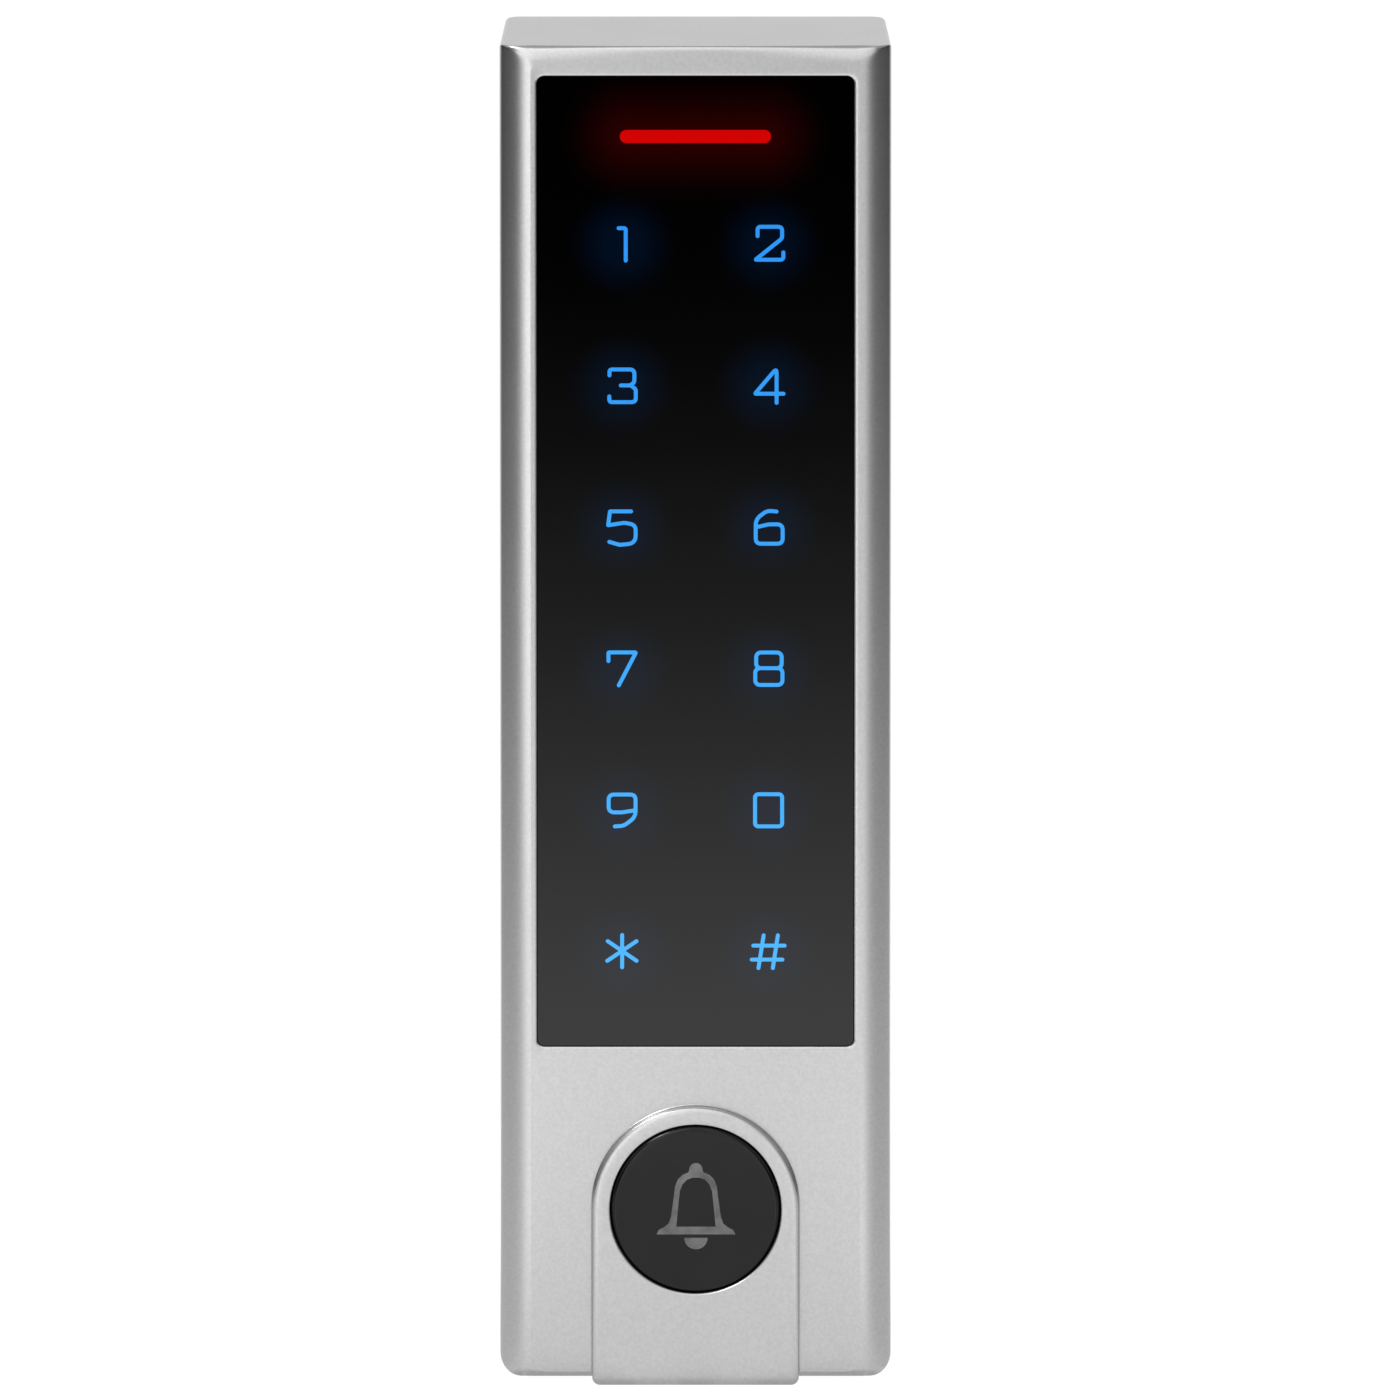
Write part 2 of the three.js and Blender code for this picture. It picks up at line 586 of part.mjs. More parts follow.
function stemClip() {
  const inner = STEM.grooveR + GAP;
  const front = CLIP_GROOVE.front + 0.06;
  const rear = CLIP_GROOVE.rear - 0.08;
  const ring = turned([[inner, front], [CLIP.r, front], [CLIP.r, rear], [inner, rear]], 0, BUTTON_Z, 16);
  const mouth = box(-CLIP.mouthHalf, CLIP.mouthHalf, CARRIER_REAR, CARRIER_REAR + 1, BUTTON_Z - 6, BUTTON_Z);
  return cut(ring, mouth);
}

function springPath(radius, y0, y1, turns) {
  const points = [];
  const steps = Math.round(turns * SPRING.stepsPerTurn);
  for (let step = 0; step <= steps; step += 1) {
    const part = step / steps;
    const angle = part * turns * 2 * Math.PI;
    const z = BUTTON_Z + radius * Math.sin(angle);
    points.push(new THREE.Vector3(radius * Math.cos(angle), y0 + (y1 - y0) * part, z));
  }
  return new THREE.CatmullRomCurve3(points);
}

function returnSpring() {
  const { wire, turns, r } = SPRING;
  const section = new THREE.Shape();
  section.absarc(0, 0, wire, 0, 2 * Math.PI);
  const start = CAP_INNER + wire + 0.1;
  const end = CARRIER.front + SPRING_POCKET.depth - wire - 0.1;
  const geometry = new THREE.ExtrudeGeometry(section, {
    steps: Math.round(turns * SPRING.stepsPerTurn),
    curveSegments: 3,
    bevelEnabled: false,
    extrudePath: springPath(r, start, end, turns),
  });
  return outward(solid(geometry));
}

function buttonCarrier() {
  const disc = rodY(CARRIER.radius, CARRIER.front + GAP, CARRIER_REAR, 0, BUTTON_Z, 32);
  const earX = CARRIER.screwX + CARRIER.earR;
  const ears = plate(
    roundedRect(-earX, earX, BUTTON_Z - CARRIER.earR, BUTTON_Z + CARRIER.earR, 2.8),
    CARRIER.front + GAP, CARRIER_REAR, 2);
  const seat = CARRIER.front + SPRING_POCKET.depth;
  const pocket = rodY(SPRING_POCKET.r, CARRIER.front - 1, seat, 0, BUTTON_Z, 20);
  const bore = rodY(STEM.boreR, CARRIER.front - 1, CARRIER_REAR + 1, 0, BUTTON_Z, 16);
  const screwHoles = SIDES.map((side) => rodY(
    M2_CLEAR_R, CARRIER.front - 1, CARRIER_REAR + 1, side * CARRIER.screwX, BUTTON_Z, 10));
  return cut(join(disc, ears), pocket, bore, ...screwHoles);
}

function switchBody() {
  const rear = BOARD.front - GAP;
  const { half, front, plungerR } = SWITCH;
  const body = plate(roundedRect(-half, half, BUTTON_Z - half, BUTTON_Z + half, 0.4), front, rear, 1);
  const legs = SIDES.map((side) => box(
    side * 2.5, side * 4, rear - 0.25, rear, BUTTON_Z - 2.4, BUTTON_Z + 2.4));
  const bore = rodY(plungerR + 0.2, front - 1, rear - 0.75, 0, BUTTON_Z, 16);
  return cut(join(body, ...legs), bore);
}

addPiece('button_cap', buttonCap(), DARK_CAP);
addPiece('button_seal_ring', sealRing(), RUBBER);
addPiece('button_stem', buttonStem(), STEEL);
addPiece('stem_clip', stemClip(), STEEL);
addPiece('return_spring', returnSpring(), STEEL);
addPiece('button_carrier', buttonCarrier(), BLACK_PLASTIC);
SIDES.forEach((side, index) => {
  const headRear = CARRIER_REAR + SCREW_HEAD + GAP;
  const screw = screwAlongY(side * CARRIER.screwX, BUTTON_Z, headRear, SCREW_HEAD, CARRIER.front - 2.1);
  addPiece(`carrier_screw_${index + 1}`, screw, ZINC_PLATE);
});
addPiece('switch_body', switchBody(), GREY_PLASTIC);
addPiece('switch_plunger', rodY(
  SWITCH.plungerR, STEM.tip + 0.1, STEM.tip + 1.6, 0, BUTTON_Z, 16), BLACK_PLASTIC);

// ---------- rear cover and seal ----------

const HOOK = { x: 10, halfX: 3, z: 69, top: 73, thick: 1.2 };
const COVER_OPENING = { x: 13.5, top: -12, bottom: -33 };

function rearCover() {
  const cover = plate(
    roundedRect(-POCKET_HALF_X + 0.2, POCKET_HALF_X - 0.2, -POCKET_HALF_Z + 0.2, POCKET_HALF_Z - 0.2, 1.8),
    COVER_REAR - COVER_THICK + GAP, COVER_REAR, 2);
  const cuts = [plate(
    roundedRect(-COVER_OPENING.x, COVER_OPENING.x, COVER_OPENING.bottom, COVER_OPENING.top, 1.5),
    COVER_REAR - 4, COVER_REAR + 1, 2)];
  for (const side of SIDES) {
    for (const z of COVER_SCREWS.rows) {
      cuts.push(rodY(M2_CLEAR_R, COVER_REAR - 4, COVER_REAR + 1, side * COVER_SCREWS.x, z, 8));
      cuts.push(rodY(2.15, COVER_REAR - 1, COVER_REAR + 1, side * COVER_SCREWS.x, z, 12));
    }
    const x0 = side * HOOK.x - HOOK.halfX - 0.5;
    const x1 = side * HOOK.x + HOOK.halfX + 0.5;
    cuts.push(box(x0, x1, COVER_REAR - 4, COVER_REAR + 1, HOOK.z - 3.5, HOOK.z + 1.7));
  }
  return cut(cover, ...cuts);
}

addPiece('rear_seal', plate(
  frameShape(
    roundedRect(-POCKET_HALF_X + 0.3, POCKET_HALF_X - 0.3, -POCKET_HALF_Z + 0.3, POCKET_HALF_Z - 0.3, 1.6),
    roundedRect(-CAVITY_HALF_X - 0.2, CAVITY_HALF_X + 0.2, -CAVITY_HALF_Z - 0.2, CAVITY_HALF_Z + 0.2, 0.8)),
  LEDGE_Y + GAP, LEDGE_Y + SEAL_THICK, 2), RUBBER);
addPiece('rear_cover', rearCover(), GREY_PLASTIC);

let coverScrew = 0;
for (const z of COVER_SCREWS.rows) {
  for (const side of SIDES) {
    coverScrew += 1;
    const screw = screwAlongY(side * COVER_SCREWS.x, z, COVER_REAR + 0.15, 1.1, LEDGE_Y - 3.6);
    addPiece(`cover_screw_${coverScrew}`, screw, ZINC_PLATE);
  }
}

// ---------- wall bracket ----------

const MOUNT_HOLES = { x: 14, rows: [50, -58], r: 2.25 };
const GROMMET = { slack: 0.15, wall: 2, lip: 1.2, front: -2.4 };

function wallBracket() {
  const { halfX, halfZ, thick } = BRACKET;
  let steel = plate(roundedRect(-halfX, halfX, -halfZ, halfZ, 2), -thick, 0, 2);
  for (const side of SIDES) {
    const x = side * HOOK.x;
    const lipRear = COVER_REAR - COVER_THICK - 0.25;
    steel = join(
      steel,
      box(x - HOOK.halfX, x + HOOK.halfX, lipRear - HOOK.thick, -thick + 0.5, HOOK.z, HOOK.z + 1.5),
      box(x - HOOK.halfX, x + HOOK.halfX, lipRear - HOOK.thick, lipRear, HOOK.z, HOOK.top));
  }
  steel = steel.add(box(-5, 5, COVER_REAR + 0.2, 0, -halfZ, -halfZ + 2));
  const cuts = [
    plate(roundedRect(-CABLE_HOLE.x, CABLE_HOLE.x, CABLE_HOLE.bottom, CABLE_HOLE.top, 3), -5, 5, 2),
    rodZ(SECURITY.holeR, -halfZ - 1, -halfZ + 3, 0, SECURITY.y),
  ];
  for (const side of SIDES) {
    for (const z of MOUNT_HOLES.rows) cuts.push(rodY(MOUNT_HOLES.r, -5, 5, side * MOUNT_HOLES.x, z, 16));
  }
  return cut(steel, ...cuts);
}

function cableGrommet() {
  const { x, top, bottom } = CABLE_HOLE;
  const { slack, wall, lip, front } = GROMMET;
  const neck = plate(
    roundedRect(slack - x, x - slack, bottom + slack, top - slack, 2.8), -BRACKET.thick - 0.4, -0.1, 2);
  const flange = plate(
    roundedRect(-x - lip, x + lip, bottom - lip, top + lip, 4), front, -BRACKET.thick - GAP, 2);
  const way = plate(roundedRect(wall - x, x - wall, bottom + wall, top - wall, 1.5), -5, 5, 2);
  return cut(join(neck, flange), way);
}

function securityScrew() {
  const screw = rodZ(SECURITY.screwR, BOTTOM + 0.4, -BRACKET.halfZ + 2.4, 0, SECURITY.y);
  return cut(screw, rodZ(0.65, BOTTOM, BOTTOM + 1.6, 0, SECURITY.y, 6));
}

addPiece('wall_bracket', wallBracket(), ZINC_PLATE);
addPiece('cable_grommet', cableGrommet(), RUBBER);
addPiece('security_screw', securityScrew(), STEEL);

export default reader;
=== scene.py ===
# Looks of the keypad access reader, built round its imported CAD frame.
# Shapes are worked out in millimetres in the row frame (+X right, -Y out of the front, +Z up)
# and turned into metres when a mesh is made.

import json
import math

import bmesh
import bpy
import numpy as np
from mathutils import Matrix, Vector
from mathutils.geometry import delaunay_2d_cdt


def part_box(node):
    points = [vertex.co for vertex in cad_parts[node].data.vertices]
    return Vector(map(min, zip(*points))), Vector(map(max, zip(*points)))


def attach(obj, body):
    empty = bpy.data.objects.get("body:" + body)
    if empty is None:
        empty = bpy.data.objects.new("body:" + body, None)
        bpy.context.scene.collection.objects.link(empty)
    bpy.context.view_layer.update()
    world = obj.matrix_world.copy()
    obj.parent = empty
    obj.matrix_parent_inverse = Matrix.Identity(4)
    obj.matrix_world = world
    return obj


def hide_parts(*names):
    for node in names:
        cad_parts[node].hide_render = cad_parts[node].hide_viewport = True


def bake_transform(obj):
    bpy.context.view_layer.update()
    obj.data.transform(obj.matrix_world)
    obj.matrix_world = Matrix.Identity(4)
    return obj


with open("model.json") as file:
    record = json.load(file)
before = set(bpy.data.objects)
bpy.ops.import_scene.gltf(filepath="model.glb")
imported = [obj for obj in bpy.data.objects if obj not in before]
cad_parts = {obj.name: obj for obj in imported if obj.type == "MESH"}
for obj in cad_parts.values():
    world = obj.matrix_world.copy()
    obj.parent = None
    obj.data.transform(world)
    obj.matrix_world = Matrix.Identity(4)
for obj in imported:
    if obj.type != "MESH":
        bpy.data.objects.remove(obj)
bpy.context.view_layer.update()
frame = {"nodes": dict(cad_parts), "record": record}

MM = 0.001


def node_box(name):
    """Lowest and highest corner of a CAD node, in millimetres."""
    low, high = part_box(name)
    return low / MM, high / MM


# ---------- sizes taken from the frame ----------

HOUSING_LOW, HOUSING_HIGH = node_box("front_housing")
GLASS_LOW, GLASS_HIGH = node_box("touch_panel_glass")
CAP_LOW, CAP_HIGH = node_box("button_cap")
BRACKET_LOW, BRACKET_HIGH = node_box("wall_bracket")
GROMMET_LOW, GROMMET_HIGH = node_box("cable_grommet")
SPRING_LOW, SPRING_HIGH = node_box("return_spring")
STATUS_LOW, STATUS_HIGH = node_box("status_light_bar")
SCREW_LOW, SCREW_HIGH = node_box("security_screw")

GLASS_SINK = 0.25                     # glass face below the front face
GLASS_GAP = 0.12
FRONT = GLASS_LOW.y - GLASS_SINK
REAR = HOUSING_HIGH.y
HALF_X = HOUSING_HIGH.x
TOP = HOUSING_HIGH.z
BOTTOM = -TOP
SIDE_TAPER = 0.7

WINDOW_X = GLASS_HIGH.x + GLASS_GAP
WINDOW_TOP = GLASS_HIGH.z + GLASS_GAP
WINDOW_BOTTOM = GLASS_LOW.z - GLASS_GAP
WINDOW_CORNER = 1.1
WINDOW_DEPTH = 2.35
WINDOW_LEDGE = 2.1

BUTTON_Z = (CAP_LOW.z + CAP_HIGH.z) / 2
BUTTON_R = (CAP_HIGH.z - CAP_LOW.z) / 2
HOLE_R = BUTTON_R + 0.16
BOSS_FRONT = HOUSING_LOW.y
BOSS_R = 13.22
BOSS_FOOT = HOUSING_LOW.z

FRONT_WALL = 3.4
CAVITY_X = 20.6
CAVITY_Z = 82.3
POCKET_X = 22.3
POCKET_Z = 84.0
LEDGE_Y = -6.6

KEY_PITCH_X = 18.76
KEY_PITCH_Z = 18.36
KEY_TOP_Z = 60.8
KEY_NAMES = ["1", "2", "3", "4", "5", "6", "7", "8", "9", "0", "star", "hash"]


# ---------- mesh building ----------

class Shell:
    """Gathers rings of points, in millimetres, and the faces between them."""

    def __init__(self):
        self.points = []
        self.faces = []

    def ring(self, points):
        first = len(self.points)
        self.points.extend(points)
        return list(range(first, len(self.points)))

    def bridge(self, a, b):
        """Quads between two rings of the same count, facing out where a lies inside b seen from -Y."""
        count = len(a)
        for i in range(count):
            j = (i + 1) % count
            self.faces.append((a[i], a[j], b[j], b[i]))

    def loft(self, rings):
        ids = [self.ring(points) for points in rings]
        for a, b in zip(ids, ids[1:]):
            self.bridge(a, b)
        return ids

    def fill(self, outer, holes, facing):
        """Triangles over the flat area inside outer and outside holes. facing is -1 for a face to -Y."""
        loops = [outer, *holes]
        flat = [[(self.points[i][0], self.points[i][2]) for i in loop] for loop in loops]
        ids = [i for loop in loops for i in loop]
        points = [Vector(p) for loop in flat for p in loop]
        edges = []
        start = 0
        for loop in flat:
            count = len(loop)
            edges.extend((start + i, start + (i + 1) % count) for i in range(count))
            start += count
        made = delaunay_2d_cdt(points, edges, [], 0, 1e-7)
        coords, triangles, source = made[0], made[2], made[3]
        middles = np.array([[sum(coords[i][k] for i in tri) / 3 for k in (0, 1)] for tri in triangles])
        kept = sum(inside(middles, np.array(loop)) for loop in flat) == 1
        for tri, keep in zip(triangles, kept):
            if not keep:
                continue
            a, b, c = (ids[source[i][0]] for i in tri)
            pa, pb, pc = self.points[a], self.points[b], self.points[c]
            turn = (pb[0] - pa[0]) * (pc[2] - pa[2]) - (pb[2] - pa[2]) * (pc[0] - pa[0])
            self.faces.append((a, b, c) if turn * facing < 0 else (a, c, b))

    def make(self, name, material, sharp=32.0, body="reader", even_shading=True):
        """The piece itself, smooth but for edges sharper than sharp, moving with body."""
        mesh = bpy.data.meshes.new(name)
        mesh.from_pydata([(x * MM, y * MM, z * MM) for x, y, z in self.points], [], self.faces)
        mesh.validate()
        mesh.polygons.foreach_set("use_smooth", [True] * len(mesh.polygons))
        mesh.set_sharp_from_angle(angle=math.radians(sharp))
        mesh.materials.append(material)
        face_outwards(mesh)
        piece = bpy.data.objects.new(name, mesh)
        bpy.context.scene.collection.objects.link(piece)
        if even_shading:
            normals = piece.modifiers.new("weighted_normals", "WEIGHTED_NORMAL")
            normals.keep_sharp = True
        if body:
            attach(piece, body)
        return piece


def face_outwards(mesh):
    """Makes every face of a closed mesh look outwards."""
    work = bmesh.new()
    work.from_mesh(mesh)
    bmesh.ops.recalc_face_normals(work, faces=work.faces)
    work.to_mesh(mesh)
    work.free()


def inside(points, loop):
    """1 for each point that lies inside the loop, else 0."""
    following = np.roll(loop, -1, axis=0)
    x, z = points[:, :1], points[:, 1:]
    x0, z0, x1, z1 = loop[:, 0], loop[:, 1], following[:, 0], following[:, 1]
    rise = np.where(z1 == z0, 1e-12, z1 - z0)
    crossed = ((z0 > z) != (z1 > z)) & (x < x0 + (z - z0) * (x1 - x0) / rise)
    return crossed.sum(axis=1) % 2


def arc(cx, cz, radius, start, end, count):
    """Points on an arc, angles in degrees from +X towards +Z, both ends included."""
    angles = [math.radians(start + (end - start) * i / count) for i in range(count + 1)]
    return [(cx + radius * math.cos(angle), cz + radius * math.sin(angle)) for angle in angles]


def spread(a, b, count):
    """Points between a and b without the ends."""
    return [(a[0] + (b[0] - a[0]) * i / count, a[1] + (b[1] - a[1]) * i / count) for i in range(1, count)]


def rounded(x0, x1, z0, z1, low_r, top_r, corner=8, across=1, up=1):
    """A rectangle with round corners, anticlockwise seen from the front, always with the same count."""
    corners = [
        arc(x1 - low_r, z0 + low_r, low_r, -90, 0, corner),
        arc(x1 - top_r, z1 - top_r, top_r, 0, 90, corner),
        arc(x0 + top_r, z1 - top_r, top_r, 90, 180, corner),
        arc(x0 + low_r, z0 + low_r, low_r, 180, 270, corner),
    ]
    steps = [up, across, up, across]
    loop = []
    for k in range(4):
        loop.extend(corners[k])
        loop.extend(spread(corners[k][-1], corners[(k + 1) % 4][0], steps[k]))
    return loop


def circle(radius, cx, cz, count=96):
    angles = [2 * math.pi * i / count for i in range(count)]
    return [(cx + radius * math.cos(angle), cz + radius * math.sin(angle)) for angle in angles]


def at(loop, y):
    return [(x, y, z) for x, z in loop]


def quarter(radius, angle):
    """Steps out and down along a quarter circle: from (radius, 0) at 0 to (0, radius) at 90 degrees."""
    turn = math.radians(angle)
    return radius * (1 - math.sin(turn)), radius * (1 - math.cos(turn))


def ease(value):
    value = min(1.0, max(0.0, value))
    return value * value * (3 - 2 * value)


def mixed(a, b, share):
    return a + (b - a) * share


def bezier(points, t):
    """A cubic curve through 2-D control points."""
    s = 1 - t
    weights = (s * s * s, 3 * s * s * t, 3 * s * t * t, t * t * t)
    return tuple(sum(w * p[k] for w, p in zip(weights, points)) for k in (0, 1))


def prism(name, material, outer, holes, front, rear, chamfer):
    """A flat plate between two depths, its front and rear edges chamfered."""
    shell = Shell()
    fronts, rears = [], []
    for number, loop in enumerate([outer, *holes]):
        small = offset_loop(loop, chamfer if number else -chamfer)
        ids = shell.loft([
            at(small, front), at(loop, front + chamfer), at(loop, rear - chamfer), at(small, rear)])
        if number:
            flip(shell, ids)
        fronts.append(ids[0])
        rears.append(ids[-1])
    shell.fill(fronts[0], fronts[1:], -1)
    shell.fill(rears[0], rears[1:], 1)
    return shell.make(name, material)


def flip(shell, ids):
    """Turns round the faces of the loft just made from ids."""
    count = len(ids[0]) * (len(ids) - 1)
    shell.faces[-count:] = [tuple(reversed(face)) for face in shell.faces[-count:]]


def offset_loop(loop, distance):
    """The loop moved outwards by distance, for loops that run anticlockwise."""
    count = len(loop)
    moved = []
    for i in range(count):
        x0, z0 = loop[i - 1]
        x1, z1 = loop[i]
        x2, z2 = loop[(i + 1) % count]
        ax, az = unit(x1 - x0, z1 - z0)
        bx, bz = unit(x2 - x1, z2 - z1)
        nx, nz = unit(az + bz, -ax - bx)
        spread_out = max(0.5, nx * az - nz * ax)
        moved.append((x1 + nx * distance / spread_out, z1 + nz * distance / spread_out))
    return moved


def unit(x, z):
    length = math.hypot(x, z) or 1.0
    return x / length, z / length


# ---------- shader values ----------

def new_node(tree, kind, **levels):
    """A new shader node with its inputs set; an underscore in a name stands for a space."""
    node = tree.nodes.new(kind)
    for name, level in levels.items():
        node.inputs[name.replace("_", " ")].default_value = level
    return node


class Value:
    """The output of a shader node, to be reckoned with like a number."""

    def __init__(self, tree, socket):
        self.tree = tree
        self.socket = socket

    def into(self, port):
        self.tree.links.new(self.socket, port)

    def math(self, operation, other=None):
        node = self.tree.nodes.new("ShaderNodeMath")
        node.operation = operation
        self.into(node.inputs[0])
        if isinstance(other, Value):
            other.into(node.inputs[1])
        elif other is not None:
            node.inputs[1].default_value = other
        return Value(self.tree, node.outputs[0])

    def __add__(self, other):
        return self.math("ADD", other)

    def __sub__(self, other):
        return self.math("SUBTRACT", other)

    def __rsub__(self, other):
        return self * -1.0 + other

    def __mul__(self, other):
        return self.math("MULTIPLY", other)

    def __truediv__(self, other):
        return self.math("DIVIDE", other)

    def ranged(self, low, high, from_low=0.3, from_high=0.7, kind="LINEAR"):
        """low at from_low and high at from_high, and no further beyond them."""
        node = new_node(
            self.tree, "ShaderNodeMapRange", From_Min=from_low, From_Max=from_high, To_Min=low, To_Max=high)
        node.interpolation_type = kind
        self.into(node.inputs["Value"])
        return Value(self.tree, node.outputs["Result"])

    def smooth(self, low, high):
        """0 at low and 1 at high, with a soft start and end."""
        return self.ranged(0.0, 1.0, low, high, "SMOOTHSTEP")

    def band(self, low, high, soft):
        """1 between low and high, falling to 0 outside them."""
        return self.smooth(low - soft, low + soft) * self.smooth(high + soft, high - soft)

    def ramp(self, stops):
        node = self.tree.nodes.new("ShaderNodeValToRGB")
        elements = node.color_ramp.elements
        while len(elements) < len(stops):
            elements.new(0.5)
        for element, (place, color) in zip(elements, stops):
            element.position = place
            element.color = (*color, 1.0)
        self.into(node.inputs["Fac"])
        return Value(self.tree, node.outputs["Color"])


def shaded_point(tree, node="ShaderNodeTexCoord", output="Object"):
    """The x, y and z of the point that is being shaded, in metres."""
    where = tree.nodes.new(node)
    split = tree.nodes.new("ShaderNodeSeparateXYZ")
    tree.links.new(where.outputs[output], split.inputs["Vector"])
    return [Value(tree, split.outputs[axis]) for axis in "XYZ"]


def distance(x, y):
    return (x * x + y * y).math("SQRT")


def noise(tree, scale, detail=3.0):
    """Noise in the row frame; scale is in features per metre."""
    where = tree.nodes.new("ShaderNodeTexCoord")
    texture = new_node(tree, "ShaderNodeTexNoise", Scale=scale, Detail=detail)
    tree.links.new(where.outputs["Object"], texture.inputs["Vector"])
    return Value(tree, texture.outputs["Fac"])


# ---------- materials ----------

def principled(name, color, roughness, metallic=0.0):
    """A new material; returns it with its node tree and its shader's inputs."""
    made = bpy.data.materials.new(name)
    made.use_nodes = True
    tree = made.node_tree
    shader = tree.nodes["Principled BSDF"].inputs
    shader["Base Color"].default_value = (*color, 1.0)
    shader["Roughness"].default_value = roughness
    shader["Metallic"].default_value = metallic
    return made, tree, shader


def bump(shader, height, strength, depth):
    node = new_node(height.tree, "ShaderNodeBump", Strength=strength, Distance=depth)
    height.into(node.inputs["Height"])
    height.tree.links.new(node.outputs["Normal"], shader["Normal"])


def scaled(color, factor):
    return tuple(min(1.0, c * factor) for c in color)


def textured(name, color, roughness, metallic=0.0, grain=900.0, spread_by=0.12, rough_by=0.05, relief=0.2):
    """A surface whose colour, roughness and relief vary finely, as a moulded or plated one does."""
    made, tree, shader = principled(name, color, roughness, metallic)
    coarse = noise(tree, grain * 0.08, 4.0)
    fine = noise(tree, grain, 2.0)
    tint = coarse.ramp([(0.3, scaled(color, 1 - spread_by)), (0.7, scaled(color, 1 + spread_by))])
    tint.into(shader["Base Color"])
    fine.ranged(roughness - rough_by, roughness + rough_by).into(shader["Roughness"])
    bump(shader, fine, relief, 0.02 * MM)
    return made


def satin_metal():
    """Fine satin cast metal under a thin clear lacquer."""
    made, tree, shader = principled("satin_metal", (0.56, 0.56, 0.56), 0.288, 1.0)
    speckle = noise(tree, 2600.0, 2.0)
    cloud = noise(tree, 90.0, 3.0)
    speckle.ramp([(0.30, (0.515, 0.515, 0.515)), (0.70, (0.573, 0.573, 0.571))]).into(shader["Base Color"])
    cloud.ranged(0.280, 0.296).into(shader["Roughness"])
    return made


KEY_GLOW_R = 8.2                      # how far the light of a key spreads in the print
STATUS_GLOW_R = 9.5


def black_glass():
    """Toughened glass printed black on its back, with the glow of its lights round the signs."""
    made, tree, shader = principled("black_glass", (0.0, 0.0, 0.0), 0.05)
    shader["IOR"].default_value = 1.5
    x, _, z = shaded_point(tree)
    beside_key = x.math("ABSOLUTE") - KEY_PITCH_X / 2 * MM
    foot = (KEY_TOP_Z - 5.5 * KEY_PITCH_Z) * MM
    head = (KEY_TOP_Z + 0.5 * KEY_PITCH_Z) * MM
    above_key = (z - foot).math("FLOORED_MODULO", KEY_PITCH_Z * MM) - KEY_PITCH_Z / 2 * MM
    among_keys = z.math("LESS_THAN", head) * z.math("GREATER_THAN", foot)
    glow = distance(beside_key, above_key).ranged(0.0, 1.0, KEY_GLOW_R * MM, 0.0, "SMOOTHERSTEP")
    blue = glow * among_keys
    past_bar = (x.math("ABSOLUTE") - STATUS_HIGH.x * 0.9 * MM).math("MAXIMUM", 0.0)
    above_bar = z - (STATUS_LOW.z + STATUS_HIGH.z) / 2 * MM
    red = distance(past_bar, above_bar).ranged(0.0, 1.0, STATUS_GLOW_R * MM, 0.0).math("POWER", 2.0)
    light = tree.nodes.new("ShaderNodeCombineColor")
    (red * 0.027).into(light.inputs["Red"])
    (blue * 0.0040).into(light.inputs["Green"])
    (blue * 0.0135).into(light.inputs["Blue"])
    tree.links.new(light.outputs["Color"], shader["Emission Color"])
    shader["Emission Strength"].default_value = 1.0
    noise(tree, 60.0, 2.0).ranged(0.045, 0.06).into(shader["Roughness"])
    return made


def lit_print(name, dim, bright, low_z, high_z):
    """A clear window in the print with a light behind it, a little brighter towards one end."""
    made, tree, shader = principled(name, (0.0, 0.0, 0.0), 0.08)
    _, _, z = shaded_point(tree)
    share = z.ranged(0.0, 1.0, low_z * MM, high_z * MM)
    mottle = noise(tree, 2600.0, 2.0).ranged(-0.12, 0.12)
    (share + mottle).ramp([(0.0, bright), (1.0, dim)]).into(shader["Emission Color"])
    shader["Emission Strength"].default_value = 1.0
    return made


def circuit_board():
    """Green solder mask over copper tracks."""
    made, tree, shader = principled("circuit_board", (0.015, 0.11, 0.04), 0.35)
    where = tree.nodes.new("ShaderNodeTexCoord")
    turn = new_node(tree, "ShaderNodeMapping", Rotation=(math.pi / 2, 0, 0))
    tracks = new_node(
        tree, "ShaderNodeTexBrick", Scale=260.0, Mortar_Size=0.05, Mortar=(0.035, 0.190, 0.070, 1.0),
        Color1=(0.015, 0.115, 0.040, 1.0), Color2=(0.018, 0.100, 0.036, 1.0))
    tree.links.new(where.outputs["Object"], turn.inputs["Vector"])
    tree.links.new(turn.outputs["Vector"], tracks.inputs["Vector"])
    tree.links.new(tracks.outputs["Color"], shader["Base Color"])
    noise(tree, 400.0).ranged(0.30, 0.42).into(shader["Roughness"])
    bump(shader, Value(tree, tracks.outputs["Fac"]), 0.3, 0.03 * MM)
    return made


def button_metal():
    """Dark semi-gloss paint with a very fine grain."""
    made = textured("button_metal", (0.006, 0.006, 0.006), 0.12, 0.0, 2600.0, 0.15, 0.02, 0.10)
    made.node_tree.nodes["Principled BSDF"].inputs["Specular IOR Level"].default_value = 0.28
    return made


